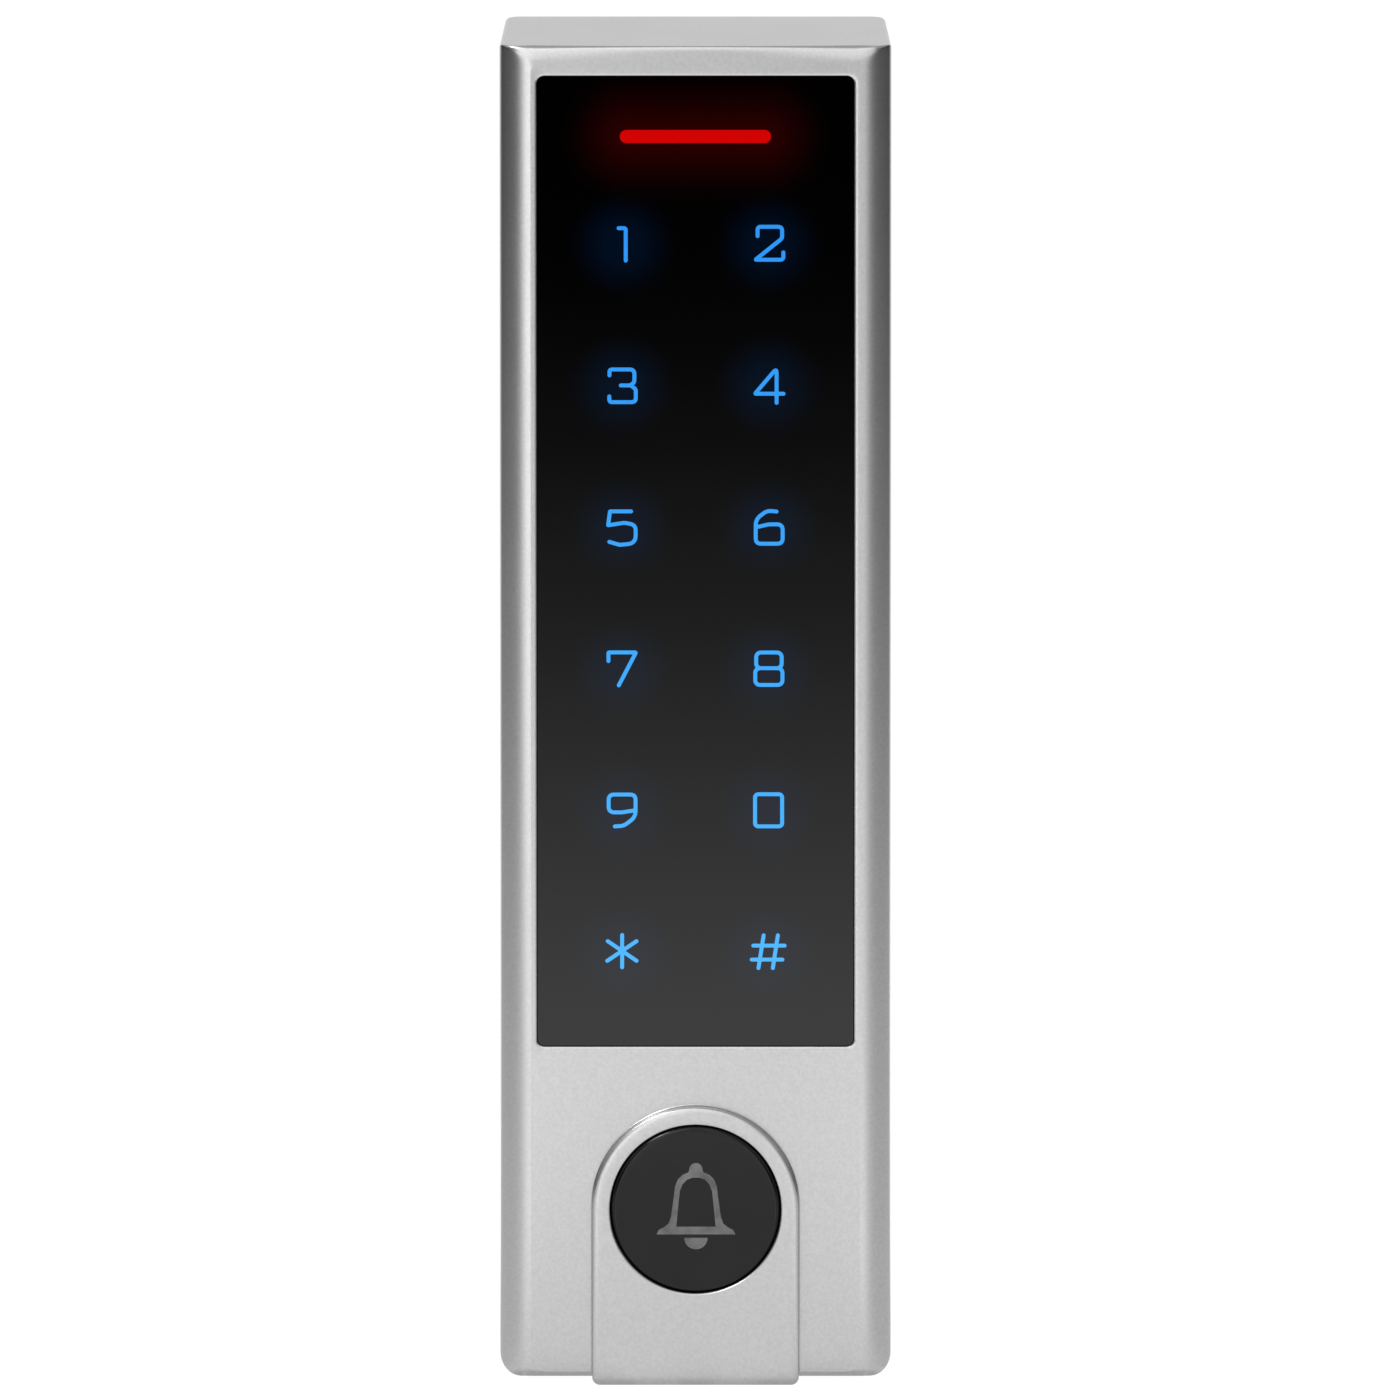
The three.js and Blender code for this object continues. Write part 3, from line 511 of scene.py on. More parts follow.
MATERIALS = {
    "satin_metal": satin_metal(),
    "black_glass": black_glass(),
    "button_metal": button_metal(),
    "foam_tape": textured("foam_tape", (0.010, 0.010, 0.010), 0.9, grain=3000.0, relief=0.6),
    "diffuser_plastic": textured("diffuser_plastic", (0.78, 0.78, 0.76), 0.5, spread_by=0.03),
    "black_plastic": textured("black_plastic", (0.012, 0.012, 0.012), 0.55, grain=2200.0, relief=0.4),
    "status_red": textured("status_red", (0.65, 0.01, 0.01), 0.3, spread_by=0.05),
    "circuit_board": circuit_board(),
    "key_light": textured("key_light", (0.35, 0.60, 1.0), 0.25, spread_by=0.05),
    "copper": textured("copper", (0.55, 0.22, 0.09), 0.36, 1.0, 3000.0, 0.15, 0.07, 0.5),
    "ferrite": textured("ferrite", (0.04, 0.04, 0.045), 0.7, grain=1500.0),
    "dark_plastic": textured("dark_plastic", (0.045, 0.046, 0.050), 0.5, grain=2000.0, relief=0.5),
    "terminal_green": textured("terminal_green", (0.03, 0.27, 0.08), 0.45, grain=1800.0),
    "white_plastic": textured("white_plastic", (0.75, 0.74, 0.70), 0.45, spread_by=0.03),
    "rubber": textured("rubber", (0.016, 0.016, 0.016), 0.75, grain=1600.0, relief=0.35),
    "bright_steel": textured("bright_steel", (0.55, 0.55, 0.56), 0.33, 1.0, 2500.0, 0.06, 0.04, 0.2),
    "zinc_steel": textured("zinc_steel", (0.42, 0.44, 0.46), 0.38, 1.0, 700.0, 0.16, 0.08, 0.3),
}


def bevelled(piece, width, segments):
    bevel = piece.modifiers.new("bevel", "BEVEL")
    bevel.width = width * MM
    bevel.segments = segments
    bevel.limit_method = "ANGLE"
    bevel.angle_limit = math.radians(40)
    return piece


def dress_frame():
    """Every CAD node takes the material of its slot, and a fine bevel on its edges."""
    for part in frame["record"]["subparts"]:
        piece = frame["nodes"][part["node"]]
        piece.data.materials.clear()
        piece.data.materials.append(MATERIALS[part["material_slot"]])
        weld = piece.modifiers.new("weld", "WELD")
        weld.merge_threshold = 0.000001
        bevelled(piece, 0.08, 2)


# ---------- housing ----------

ROLL_X = 5.0                          # width of the side roll-off
ROLL_DEPTH = 2.3
ROLL_CURVE = [(0, 0), (0.64, 0), (1, 0.348), (1, 1)]
ROLL_START = 0.117                    # where along the curve the flat front ends
ROLL_STEPS = 20
CREST = 2.9                           # height of the strip that falls back towards the top edge
FOOT = 0.9                            # height and depth of the round lower edge
CROWN_HALF = 21.2                     # half-width over which the fall grows outwards
CROWN_END = 21.0                      # where the fall starts to die out, and over what width
CROWN_FADE = 2.6


def housing_outline(half, top, low, top_r, low_r):
    return rounded(-half, half, low, top, low_r, top_r, corner=10, across=44, up=60)


def crest_depth(x, z):
    """The top edge is crowned: a gentle fall that grows outwards and stops short of the side rolls."""
    share = min(1.0, max(0.0, (z - TOP + CREST) / CREST))
    outwards = min(1.0, (x / CROWN_HALF) ** 2)
    kept = 1 - ease((abs(x) - CROWN_END) / CROWN_FADE)
    gentle = (0.06 + 0.42 * outwards) * kept
    tight = 0.11 + (0.08 + 0.16 * outwards) * kept
    return gentle * share ** 3 + tight * share ** 20


def foot_depth(z):
    share = min(1.0, max(0.0, (BOTTOM + FOOT - z) / FOOT))
    return FOOT * (1 - math.sqrt(1 - share * share))


def front_rings(inner, outer):
    """The front from its flat middle out to the outline, as a relief over the plan."""
    lost = bezier(ROLL_CURVE, ROLL_START)[1]
    rings = []
    for step in range(ROLL_STEPS + 1):
        share = step / ROLL_STEPS
        across, deep = bezier(ROLL_CURVE, mixed(ROLL_START, 1.0, share))
        deep = ROLL_DEPTH * (deep - lost) / (1 - lost)
        up = mixed(0.213, 1.0, 1 - (1 - share) ** 1.8)
        ring = []
        for (xi, zi), (xo, zo) in zip(inner, outer):
            x, z = mixed(xi, xo, across), mixed(zi, zo, up)
            ring.append((x, FRONT + side_depth(x) + crest_depth(x, z) + foot_depth(z), z))
        rings.append(ring)
    return rings


def side_depth(x):
    """Depth of the side roll-off at a distance x from the middle."""
    across = (abs(x) - HALF_X + ROLL_X) / ROLL_X
    low, high = ROLL_START, 1.0
    lost = bezier(ROLL_CURVE, ROLL_START)[1]
    if across <= bezier(ROLL_CURVE, low)[0]:
        return 0.0
    for _ in range(24):
        middle = (low + high) / 2
        if bezier(ROLL_CURVE, middle)[0] < across:
            low = middle
        else:
            high = middle
    return ROLL_DEPTH * (bezier(ROLL_CURVE, high)[1] - lost) / (1 - lost)


def housing_body():
    shell = Shell()
    outer = housing_outline(HALF_X, TOP, BOTTOM, 0.5, 3.0)
    inner = housing_outline(HALF_X - ROLL_X, TOP - CREST, BOTTOM + FOOT, 1.5, 1.5)
    rings = front_rings(inner, outer)
    edge = rings[-1]
    rear_start = REAR - 2.0
    for share in (0.25, 0.5, 0.75, 1.0):
        taper = 1 - SIDE_TAPER * share / HALF_X
        rings.append([(x * taper, mixed(y, rear_start, share), z) for x, y, z in edge])
    rear = [(x * (HALF_X - SIDE_TAPER) / HALF_X, z) for x, z in outer]
    rim = housing_outline(HALF_X - SIDE_TAPER - 1.8, TOP - 0.1, BOTTOM + 0.1, 0.5, 3.0)
    for angle in (22.5, 45, 67.5, 90):
        inwards = 1 - math.cos(math.radians(angle))
        backwards = math.sin(math.radians(angle))
        rings.append([
            (mixed(xo, xi, inwards), mixed(rear_start, REAR, backwards), mixed(zo, zi, inwards))
            for (xo, zo), (xi, zi) in zip(rear, rim)
        ])
    ids = shell.loft(rings)
    pocket_loop = rounded(-POCKET_X, POCKET_X, -POCKET_Z, POCKET_Z, 2, 2)
    pocket = shell.loft([at(pocket_loop, REAR), at(pocket_loop, LEDGE_Y)])
    shell.fill(ids[-1], [pocket[0]], 1)
    cavity_front = FRONT + FRONT_WALL
    cavity_loop = rounded(-CAVITY_X, CAVITY_X, -CAVITY_Z, CAVITY_Z, 1.5, 1.5)
    cavity = shell.loft([at(cavity_loop, LEDGE_Y), at(cavity_loop, cavity_front)])
    shell.fill(pocket[1], [cavity[0]], 1)
    recess = shell.loft(recess_rings())
    ledge = window_loop(-WINDOW_LEDGE)
    opening = shell.loft([at(ledge, FRONT + WINDOW_DEPTH), at(ledge, cavity_front)])
    shell.fill(recess[-1], [opening[0]], -1)
    hole_loop = circle(HOLE_R + 0.6, 0, BUTTON_Z)
    hole = shell.loft([at(hole_loop, FRONT), at(hole_loop, cavity_front)])
    shell.fill(ids[0], [recess[0], hole[0]], -1)
    shell.fill(cavity[1], [opening[1], hole[1]], 1)
    piece = shell.make("housing_body", MATERIALS["satin_metal"], sharp=38)
    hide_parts("front_housing")
    return piece


def window_loop(outset):
    corner = max(0.6, WINDOW_CORNER + outset)
    return rounded(
        -WINDOW_X - outset, WINDOW_X + outset, WINDOW_BOTTOM - outset, WINDOW_TOP + outset, corner, corner)


RECESS_BEVEL = [(0.44, 0.0), (0.30, 0.012), (0.15, 0.035), (0.04, 0.075), (0.0, 0.20)]
RECESS_INSET = 0.10                   # how far the wall stands inside the window's outline


def recess_rings():
    """A shallow bevel that catches the light, then the wall down to the ledge that carries the glass."""
    rings = [at(window_loop(outset - RECESS_INSET), FRONT + deep) for outset, deep in RECESS_BEVEL]
    rings.append(at(window_loop(-RECESS_INSET), FRONT + WINDOW_DEPTH))
    return rings


# ---------- bell boss ----------

ARCH_FADE = 1.6                       # height over which the arch's outset grows from nothing
BOSS_ROOT = 3.0                       # how far the boss reaches into the front wall
BOSS_LIP = 0.28                       # radius of the round lip at the button's bore
BOSS_FLARE = 0.20                     # radius of the hollow where the boss meets the front
BOSS_EDGE = 0.15                      # radius of the crest's outer edge
BOSS_CROWN = 1.2                      # width of the strip that falls towards that edge
BOSS_FALL = 0.16


def arch_loop(outset):
    """The arch round the button, drawn larger; below the housing's foot it only ever gets smaller."""
    if outset <= 0:
        return arch_points(BOSS_R + outset, BOSS_FOOT - outset, max(0.35, 1.0 + outset))
    plain = arch_points(BOSS_R, BOSS_FOOT, 1.0)
    wide = arch_points(BOSS_R + outset, BOSS_FOOT, 1.0)
    moved = []
    for (x, z), (wx, wz) in zip(plain, wide):
        share = ease((z - BOTTOM) / ARCH_FADE)
        moved.append((mixed(x, wx, share), mixed(z, wz, share)))
    return moved


def arch_points(radius, foot, corner):
    right = arc(radius - corner, foot + corner, corner, -90, 0, 8)
    left = arc(corner - radius, foot + corner, corner, 180, 270, 8)
    crown = arc(0, BUTTON_Z, radius, 0, 180, 72)
    loop = [*right, *spread(right[-1], crown[0], 24), *crown, *spread(crown[-1], left[0], 24), *left]
    return [*loop, *spread(left[-1], right[0], 24)]


def bell_boss():
    """The boss from its root in the front wall, over its crest, to the button's bore."""
    shell = Shell()
    rings = [at(arch_loop(0.0), FRONT + BOSS_ROOT), at(arch_loop(BOSS_FLARE), FRONT + 0.012)]
    for angle in (15, 30, 45, 60, 75, 88):
        outset, height = quarter(BOSS_FLARE, angle)
        rings.append(at(arch_loop(outset), FRONT - height))
    for inset in (0, 0.005, 0.02, 0.05, 0.09, 0.15, 0.24, 0.36, 0.50, 0.68, 0.90, 1.2):
        fall = BOSS_FALL * (1 - inset / BOSS_CROWN) ** 3
        if inset < BOSS_EDGE:
            fall += BOSS_EDGE - math.sqrt(BOSS_EDGE ** 2 - (BOSS_EDGE - inset) ** 2)
        rings.append(at(arch_loop(-inset), BOSS_FRONT + fall))
    rings.reverse()
    ids = shell.loft(rings)
    hole_rings = []
    for angle in (0, 22.5, 45, 67.5, 90):
        outset, deep = quarter(BOSS_LIP, angle)
        hole_rings.append(at(circle(HOLE_R + outset, 0, BUTTON_Z), BOSS_FRONT + deep))
    hole_rings.append(at(circle(HOLE_R, 0, BUTTON_Z), FRONT + BOSS_ROOT))
    hole = shell.loft(hole_rings)
    shell.fill(ids[0], [hole[0]], -1)
    shell.fill(ids[-1], [hole[-1]], 1)
    piece = shell.make("bell_boss", MATERIALS["satin_metal"], sharp=38)
    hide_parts("front_housing")
    return piece


# ---------- glass and signs ----------

def touch_glass():
    corner = WINDOW_CORNER - GLASS_GAP
    loop = rounded(GLASS_LOW.x, GLASS_HIGH.x, GLASS_LOW.z, GLASS_HIGH.z, corner, corner)
    piece = prism("touch_glass", MATERIALS["black_glass"], loop, [], GLASS_LOW.y, GLASS_HIGH.y, 0.08)
    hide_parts("touch_panel_glass")
    return piece


STROKE = 0.50
SIGN_PROUD = 0.012

# Each sign is a list of strokes; a stroke is a list of (x, z, corner radius) in millimetres.
BOX = "box"
SIGNS = {
    "1": [[(-0.42, 2.12, 0), (0.48, 2.12, 0.25), (0.48, -2.08, 0)]],
    "2": [[(-1.45, 1.10, 0), (-1.45, 2.30, 0.40), (1.68, 2.30, 0.55), (1.68, 0.80, 0.60),
           (-1.72, -1.97, 0.05), (1.84, -1.97, 0.40), (1.84, -1.02, 0)]],
    "3": [[(-1.60, 1.40, 0), (-1.60, 2.16, 0.35), (1.58, 2.16, 0.60), (1.58, 0.50, 0.55), (1.05, 0.09, 0)],
          [(-0.15, 0.09, 0), (1.10, 0.09, 0.20), (1.76, -0.40, 0.50), (1.76, -2.08, 0.55),
           (-1.62, -2.08, 0.40), (-1.62, -1.34, 0)]],
    "4": [[(0.98, -2.16, 0), (0.98, 2.30, 0.22), (-1.78, -0.99, 0.08), (1.86, -0.99, 0)]],
    "5": [[(1.15, 2.10, 0), (-1.54, 2.10, 0.08), (-1.78, 0.30, 0.03), (0.30, 0.62, 1.2), (1.74, 0.35, 1.0),
           (1.74, -2.05, 1.25), (-0.30, -2.25, 1.0), (-1.62, -1.86, 0)]],
    "6": [[(0.98, 2.08, 0), (-0.20, 2.20, 1.5), (-1.68, 1.10, 1.6), (-1.68, -2.10, 0.70),
           (1.76, -2.10, 0.70), (1.76, 0.42, 0.75), (0.0, 0.42, 2.0), (-1.55, 0.06, 0)]],
    "7": [[(-1.74, 1.02, 0), (-1.74, 2.14, 0.12), (1.78, 2.14, 0.10), (-0.42, -2.14, 0)]],
    "8": [[BOX, -1.62, 1.64, 0.09, 2.13, 0.60], [BOX, -1.74, 1.74, -2.09, 0.09, 0.60]],
    "9": [[(1.72, -0.02, 0), (0.0, -0.30, 2.0), (-1.72, -0.30, 0.75), (-1.72, 2.02, 0.70),
           (1.72, 2.02, 0.70), (1.72, -0.90, 1.6), (0.20, -2.05, 1.5), (-0.93, -2.12, 0)]],
    "0": [[BOX, -1.76, 1.70, -2.12, 2.06, 0.42]],
    "star": [[(0, 2.10, 0), (0, -2.10, 0)], [(-1.84, 1.30, 0), (1.84, -1.26, 0)],
             [(1.84, 1.30, 0), (-1.90, -1.26, 0)]],
    "hash": [[(-0.66, 2.06, 0), (-1.32, -2.20, 0)], [(1.16, 2.06, 0), (0.52, -2.20, 0)],
             [(-1.98, 0.72, 0), (2.02, 0.72, 0)], [(-2.18, -1.10, 0), (1.74, -1.10, 0)]],
}


def softened(path):
    """The points of an open path with its corners rounded."""
    made = [path[0][:2]]
    for before, here, after in zip(path, path[1:], path[2:]):
        radius = here[2]
        if radius <= 0:
            made.append(here[:2])
            continue
        ax, az = unit(before[0] - here[0], before[1] - here[1])
        bx, bz = unit(after[0] - here[0], after[1] - here[1])
        half = math.acos(max(-1.0, min(1.0, ax * bx + az * bz))) / 2
        room = 0.5 * min(math.dist(before[:2], here[:2]), math.dist(after[:2], here[:2]))
        reach = min(radius / math.tan(half), room)
        start = (here[0] + ax * reach, here[1] + az * reach)
        end = (here[0] + bx * reach, here[1] + bz * reach)
        for i in range(9):
            t = i / 8
            s = 1 - t
            made.append(tuple(s * s * start[k] + 2 * s * t * here[k] + t * t * end[k] for k in (0, 1)))
    made.append(path[-1][:2])
    return [p for i, p in enumerate(made) if i == 0 or math.dist(p, made[i - 1]) > 1e-4]


SIGN_GRID = 0.07


def stroke_field(strokes, half_x=3.0, half_z=3.0):
    """How far each grid point lies outside the strokes, with the grid's own lines."""
    xs = np.arange(-half_x, half_x, SIGN_GRID)
    zs = np.arange(-half_z, half_z, SIGN_GRID)
    gx, gz = np.meshgrid(xs, zs, indexing="ij")
    field = np.full(gx.shape, 9.0)
    for stroke in strokes:
        if stroke[0] == BOX:
            _, x0, x1, z0, z1, radius = stroke
            path = rounded(x0, x1, z0, z1, radius, radius)
            path = [*path, path[0]]
        else:
            path = softened(stroke)
        for (ax, az), (bx, bz) in zip(path, path[1:]):
            dx, dz = bx - ax, bz - az
            share = np.clip(((gx - ax) * dx + (gz - az) * dz) / (dx * dx + dz * dz), 0, 1)
            field = np.minimum(field, np.hypot(gx - ax - share * dx, gz - az - share * dz))
    return xs, zs, field - STROKE / 2


def outlines(xs, zs, field):
    """The closed lines where the field changes sign, walked from cell to cell."""
    places, joined = {}, {}
    negative = field < 0

    def crossing(a, b):
        if negative[a] == negative[b]:
            return None
        key = (a, b) if a < b else (b, a)
        share = field[key[0]] / (field[key[0]] - field[key[1]])
        (i, j), (k, m) = key
        places[key] = (mixed(xs[i], xs[k], share), mixed(zs[j], zs[m], share))
        return key

    for i in range(len(xs) - 1):
        for j in range(len(zs) - 1):
            corners = [(i, j), (i + 1, j), (i + 1, j + 1), (i, j + 1)]
            found = [crossing(corners[k], corners[(k + 1) % 4]) for k in range(4)]
            found = [key for key in found if key]
            for one, two in zip(found[::2], found[1::2]):
                joined.setdefault(one, []).append(two)
                joined.setdefault(two, []).append(one)
    loops = []
    while joined:
        key = next(iter(joined))
        loop = []
        while key in joined:
            loop.append(places[key])
            after = [k for k in joined.pop(key) if k in joined]
            key = after[0] if after else None
        loops.append([p for n, p in enumerate(loop) if math.dist(p, loop[n - 1]) > 0.3 * SIGN_GRID])
    return loops


def key_place(index):
    column = -1 if index % 2 == 0 else 1
    return column * KEY_PITCH_X / 2, KEY_TOP_Z - (index // 2) * KEY_PITCH_Z


def key_sign(index, name):
    cx, cz = key_place(index)
    shell = Shell()
    loops = outlines(*stroke_field(SIGNS[name]))
    loops.sort(key=lambda loop: min(x for x, z in loop))
    placed = [[(cx + x, cz + z) for x, z in loop] for loop in loops]
    add_plate(shell, placed, GLASS_LOW.y - SIGN_PROUD, GLASS_LOW.y + 0.05)
    piece = shell.make(f"key_sign_{name}", KEY_PRINT, even_shading=False)
    return piece


def add_plate(shell, loops, front, rear):
    """A closed plate from an outline and its holes."""
    pairs = [shell.loft([at(loop, front), at(loop, rear)]) for loop in loops]
    fronts = [pair[0] for pair in pairs]
    behind = {f: r for pair in pairs for f, r in zip(*pair)}
    before = len(shell.faces)
    shell.fill(fronts[0], fronts[1:], -1)
    shell.faces.extend([tuple(behind[i] for i in reversed(face)) for face in shell.faces[before:]])


def status_window():
    shell = Shell()
    z = (STATUS_LOW.z + STATUS_HIGH.z) / 2
    half_z = (STATUS_HIGH.z - STATUS_LOW.z) / 2
    half_x = STATUS_HIGH.x
    round_r = half_z - 0.01
    loop = rounded(-half_x, half_x, z - half_z, z + half_z, round_r, round_r, 12)
    add_plate(shell, [loop], GLASS_LOW.y - SIGN_PROUD, GLASS_LOW.y + 0.05)
    piece = shell.make("status_window", STATUS_PRINT, even_shading=False)
    return piece


# ---------- bell button ----------

CAP_EDGE = (0.62, 0.48)               # width and depth of the cap's round edge
GROOVE = (-22.3, -21.5, 0.55)         # front, rear and depth of the groove for the seal ring
CUP = (7.6, -23.0)                    # radius and floor of the hollow for the spring
STEM_BORE = (1.65, -24.0)
SEAL_WIRE = 0.24
SIGN_SHIFT = 0.06                     # the bell sign sits this much right of the cap's middle


def turned(name, material, profile, body):
    """A closed piece turned about the button's axis; profile is (radius, y)."""
    shell = Shell()
    ids = shell.loft([at(circle(radius, 0, BUTTON_Z), y) for radius, y in profile])
    if math.dist(profile[0], profile[-1]) > 1e-6:
        shell.fill(ids[0], [], -1)
        shell.fill(ids[-1], [], 1)
    return shell.make(name, material, body=body)


def button_cap():
    """A cup with a softly rounded edge, the seal groove and the hollow for the spring."""
    front, rear = CAP_LOW.y, CAP_HIGH.y
    middle = 0.4
    outside = [(middle, front), (BUTTON_R - CAP_EDGE[0] - 0.6, front)]
    for angle in range(0, 91, 9):
        across, deep = quarter(1.0, angle)
        outside.append((BUTTON_R - CAP_EDGE[0] * across, front + CAP_EDGE[1] * deep))
    groove_front, groove_rear, groove_depth = GROOVE
    floor = BUTTON_R - groove_depth
    groove = [
        (BUTTON_R, groove_front), (floor, groove_front), (floor, groove_rear), (BUTTON_R, groove_rear)]
    (cup_r, cup_y), (bore_r, bore_y) = CUP, STEM_BORE
    hollow = [
        (BUTTON_R, rear), (cup_r, rear), (cup_r, cup_y), (bore_r, cup_y), (bore_r, bore_y), (middle, bore_y)]
    profile = [*outside, *groove, *hollow]
    piece = turned("button_cap_face", MATERIALS["button_metal"], profile, "bell_button")
    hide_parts("button_cap")
    return piece


def seal_ring():
    ring = arc(BUTTON_R - 0.16, (GROOVE[0] + GROOVE[1]) / 2, SEAL_WIRE, 0, 360, 12)
    piece = turned("seal_ring_round", MATERIALS["rubber"], ring, "bell_button")
    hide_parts("button_seal_ring")
    return piece


def bell_sign():
    """Knob, outlined dome with a flared foot, and a half-round clapper."""
    side = [(0.95, 4.82), (1.72, 4.50), (2.32, 3.88), (2.68, 2.98), (2.84, 1.6), (3.02, 0.2), (3.2, -1.0),
            (3.5, -1.85), (4.1, -2.35), (4.75, -2.68), (5.05, -3.28)]
    knob = arc(0, 5.2, 0.84, 0, 180, 14)
    outer = [*reversed(side), *knob, *[(-x, z) for x, z in side]]
    inner = [
        (2.52, -2.26), (2.36, -0.6), (2.22, 0.9), (2.05, 2.4), (1.72, 3.25), (1.15, 3.86), (0.45, 4.12)]
    hole = [*inner, *[(-x, z) for x, z in reversed(inner)]]
    clapper = [(-1.48, -3.72), *arc(0, -3.72, 1.5, 180, 360, 18)[1:-1], (1.48, -3.72)]
    shell = Shell()
    for loops in ([outer, hole], [clapper]):
        placed = [[(x + SIGN_SHIFT, z + BUTTON_Z) for x, z in loop] for loop in loops]
        add_plate(shell, placed, CAP_LOW.y - 0.02, CAP_LOW.y + 0.06)
    piece = shell.make("bell_sign", BELL_PRINT, body="bell_button", even_shading=False)
    return piece


def return_spring():
    """A close helix between the cap and the carrier."""
    wire = 0.3
    radius = SPRING_HIGH.x - wire
    start, end = SPRING_LOW.y + wire, SPRING_HIGH.y - wire
    turns, steps, sides = 3.25, 156, 12
    shell = Shell()
    rings = []
    for step in range(steps + 1):
        share = step / steps
        angle = share * turns * 2 * math.pi
        out_x, out_z = math.cos(angle), math.sin(angle)
        y = mixed(start, end, share)
        rings.append([
            (out_x * (radius + u), y + v, BUTTON_Z + out_z * (radius + u))
            for u, v in circle(wire, 0, 0, sides)])
    ids = shell.loft(rings)
    shell.faces.append(tuple(reversed(ids[0])))
    shell.faces.append(tuple(ids[-1]))
    piece = shell.make("return_spring_coil", MATERIALS["bright_steel"], body=None)
    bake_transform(piece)
    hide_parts("return_spring")
    return piece


# ---------- behind: posts, bracket, grommet and screw ----------

BRACKET_THICK = 1.5
BRACKET_CORNER = 2.0
MOUNT_HOLE_R = 2.25
MOUNT_HOLES = [(side * 14.0, z) for z in (50.0, -58.0) for side in (-1, 1)]
CABLE_HOLE = {"half_x": 12.5, "low": -33.0, "high": -9.0}
HOOK_X, HOOK_HALF, HOOK_Z, HOOK_TOP = 10.0, 3.0, 69.0, 73.0
HOOK_FRONT, HOOK_SHEET, HOOK_BEND = -7.45, 1.2, 1.4
TAB_HALF, TAB_FRONT, TAB_HIGH = 5.0, -4.0, 2.0
SCREW_Y = -2.2
SCREW_PITCH = 0.4
SOCKET_R = 0.65
PADS = {"cover_pad": (17.2, 3.0), "board_post": (12.4, 2.5)}    # nearest the middle, and half height
PAD_DEPTH = 5.0
BOARD_FRONT = -13.05


def extruded(name, material, profile, x0, x1, edge):
    """A bar along X whose section is a loop of (y, z) points."""
    shell = Shell()
    ends = shell.loft([[(x, y, z) for y, z in profile] for x in (x0, x1)])
    shell.faces.append(tuple(ends[0]))
    shell.faces.append(tuple(reversed(ends[1])))
    piece = shell.make(name, material, even_shading=False)
    return bevelled(piece, edge, 3)


def block(y0, y1, z0, z1):
    return [(y0, z0), (y1, z0), (y1, z1), (y0, z1)]


def housing_posts():
    """The cast pads inside the housing that the cover, the board and the carrier are screwed to."""
    places = []
    for side in (-1, 1):
        for z in (79.0, 0.0, -79.0):
            places.append(("cover_pad", side, z, LEDGE_Y - PAD_DEPTH, LEDGE_Y))
        for z, front in ((69.0, -15.0), (-76.0, FRONT + FRONT_WALL - 0.5)):
            places.append(("board_post", side, z, front, BOARD_FRONT))
    for number, (name, side, z, front, rear) in enumerate(places):
        reach, half = PADS[name]
        x0, x1 = sorted((side * reach, side * (CAVITY_X + 0.5)))
        section = block(front, rear, z - half, z + half)
        piece = extruded(f"{name}_{number}", MATERIALS["satin_metal"], section, x0, x1, 0.3)
        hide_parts("front_housing")


def cable_loop(outset, radius):
    """The outline of the cable opening, drawn larger by outset."""
    half = CABLE_HOLE["half_x"] + outset
    return rounded(-half, half, CABLE_HOLE["low"] - outset, CABLE_HOLE["high"] + outset, radius, radius)


def bracket_plate():
    low, high = BRACKET_LOW, BRACKET_HIGH
    outer = rounded(low.x, high.x, low.z, high.z, BRACKET_CORNER, BRACKET_CORNER)
    holes = [cable_loop(0, 3), *[circle(MOUNT_HOLE_R, x, z, 48) for x, z in MOUNT_HOLES]]
    piece = prism("bracket_plate", MATERIALS["zinc_steel"], outer, holes, -BRACKET_THICK, high.y, 0.14)
    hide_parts("wall_bracket")
    return piece


def bracket_hooks():
    """Two bent lips that hold the rear cover, and the tab that takes the security screw."""
    bend = [(HOOK_FRONT + HOOK_BEND + HOOK_BEND * math.cos(a), HOOK_Z + HOOK_BEND + HOOK_BEND * math.sin(a))
            for a in [math.radians(270 - 9 * k) for k in range(11)]]
    back = HOOK_FRONT + HOOK_SHEET
    crook = [(back, HOOK_Z + 1.9), (back + 0.12, HOOK_Z + 1.62), (back + 0.4, HOOK_Z + 1.5)]
    profile = [(-BRACKET_THICK + 0.5, HOOK_Z), *bend, (HOOK_FRONT, HOOK_TOP), (back, HOOK_TOP), *crook,
               (-BRACKET_THICK + 0.5, HOOK_Z + 1.5)]
    for side, label in ((-1, "left"), (1, "right")):
        x0, x1 = side * HOOK_X - HOOK_HALF, side * HOOK_X + HOOK_HALF
        piece = extruded(f"bracket_hook_{label}", MATERIALS["zinc_steel"], profile, x0, x1, 0.15)
        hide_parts("wall_bracket")
    section = block(TAB_FRONT, -0.2, BRACKET_LOW.z, BRACKET_LOW.z + TAB_HIGH)
    tab = extruded("bracket_tab", MATERIALS["zinc_steel"], section, -TAB_HALF, TAB_HALF, 0.2)
    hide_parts("wall_bracket")


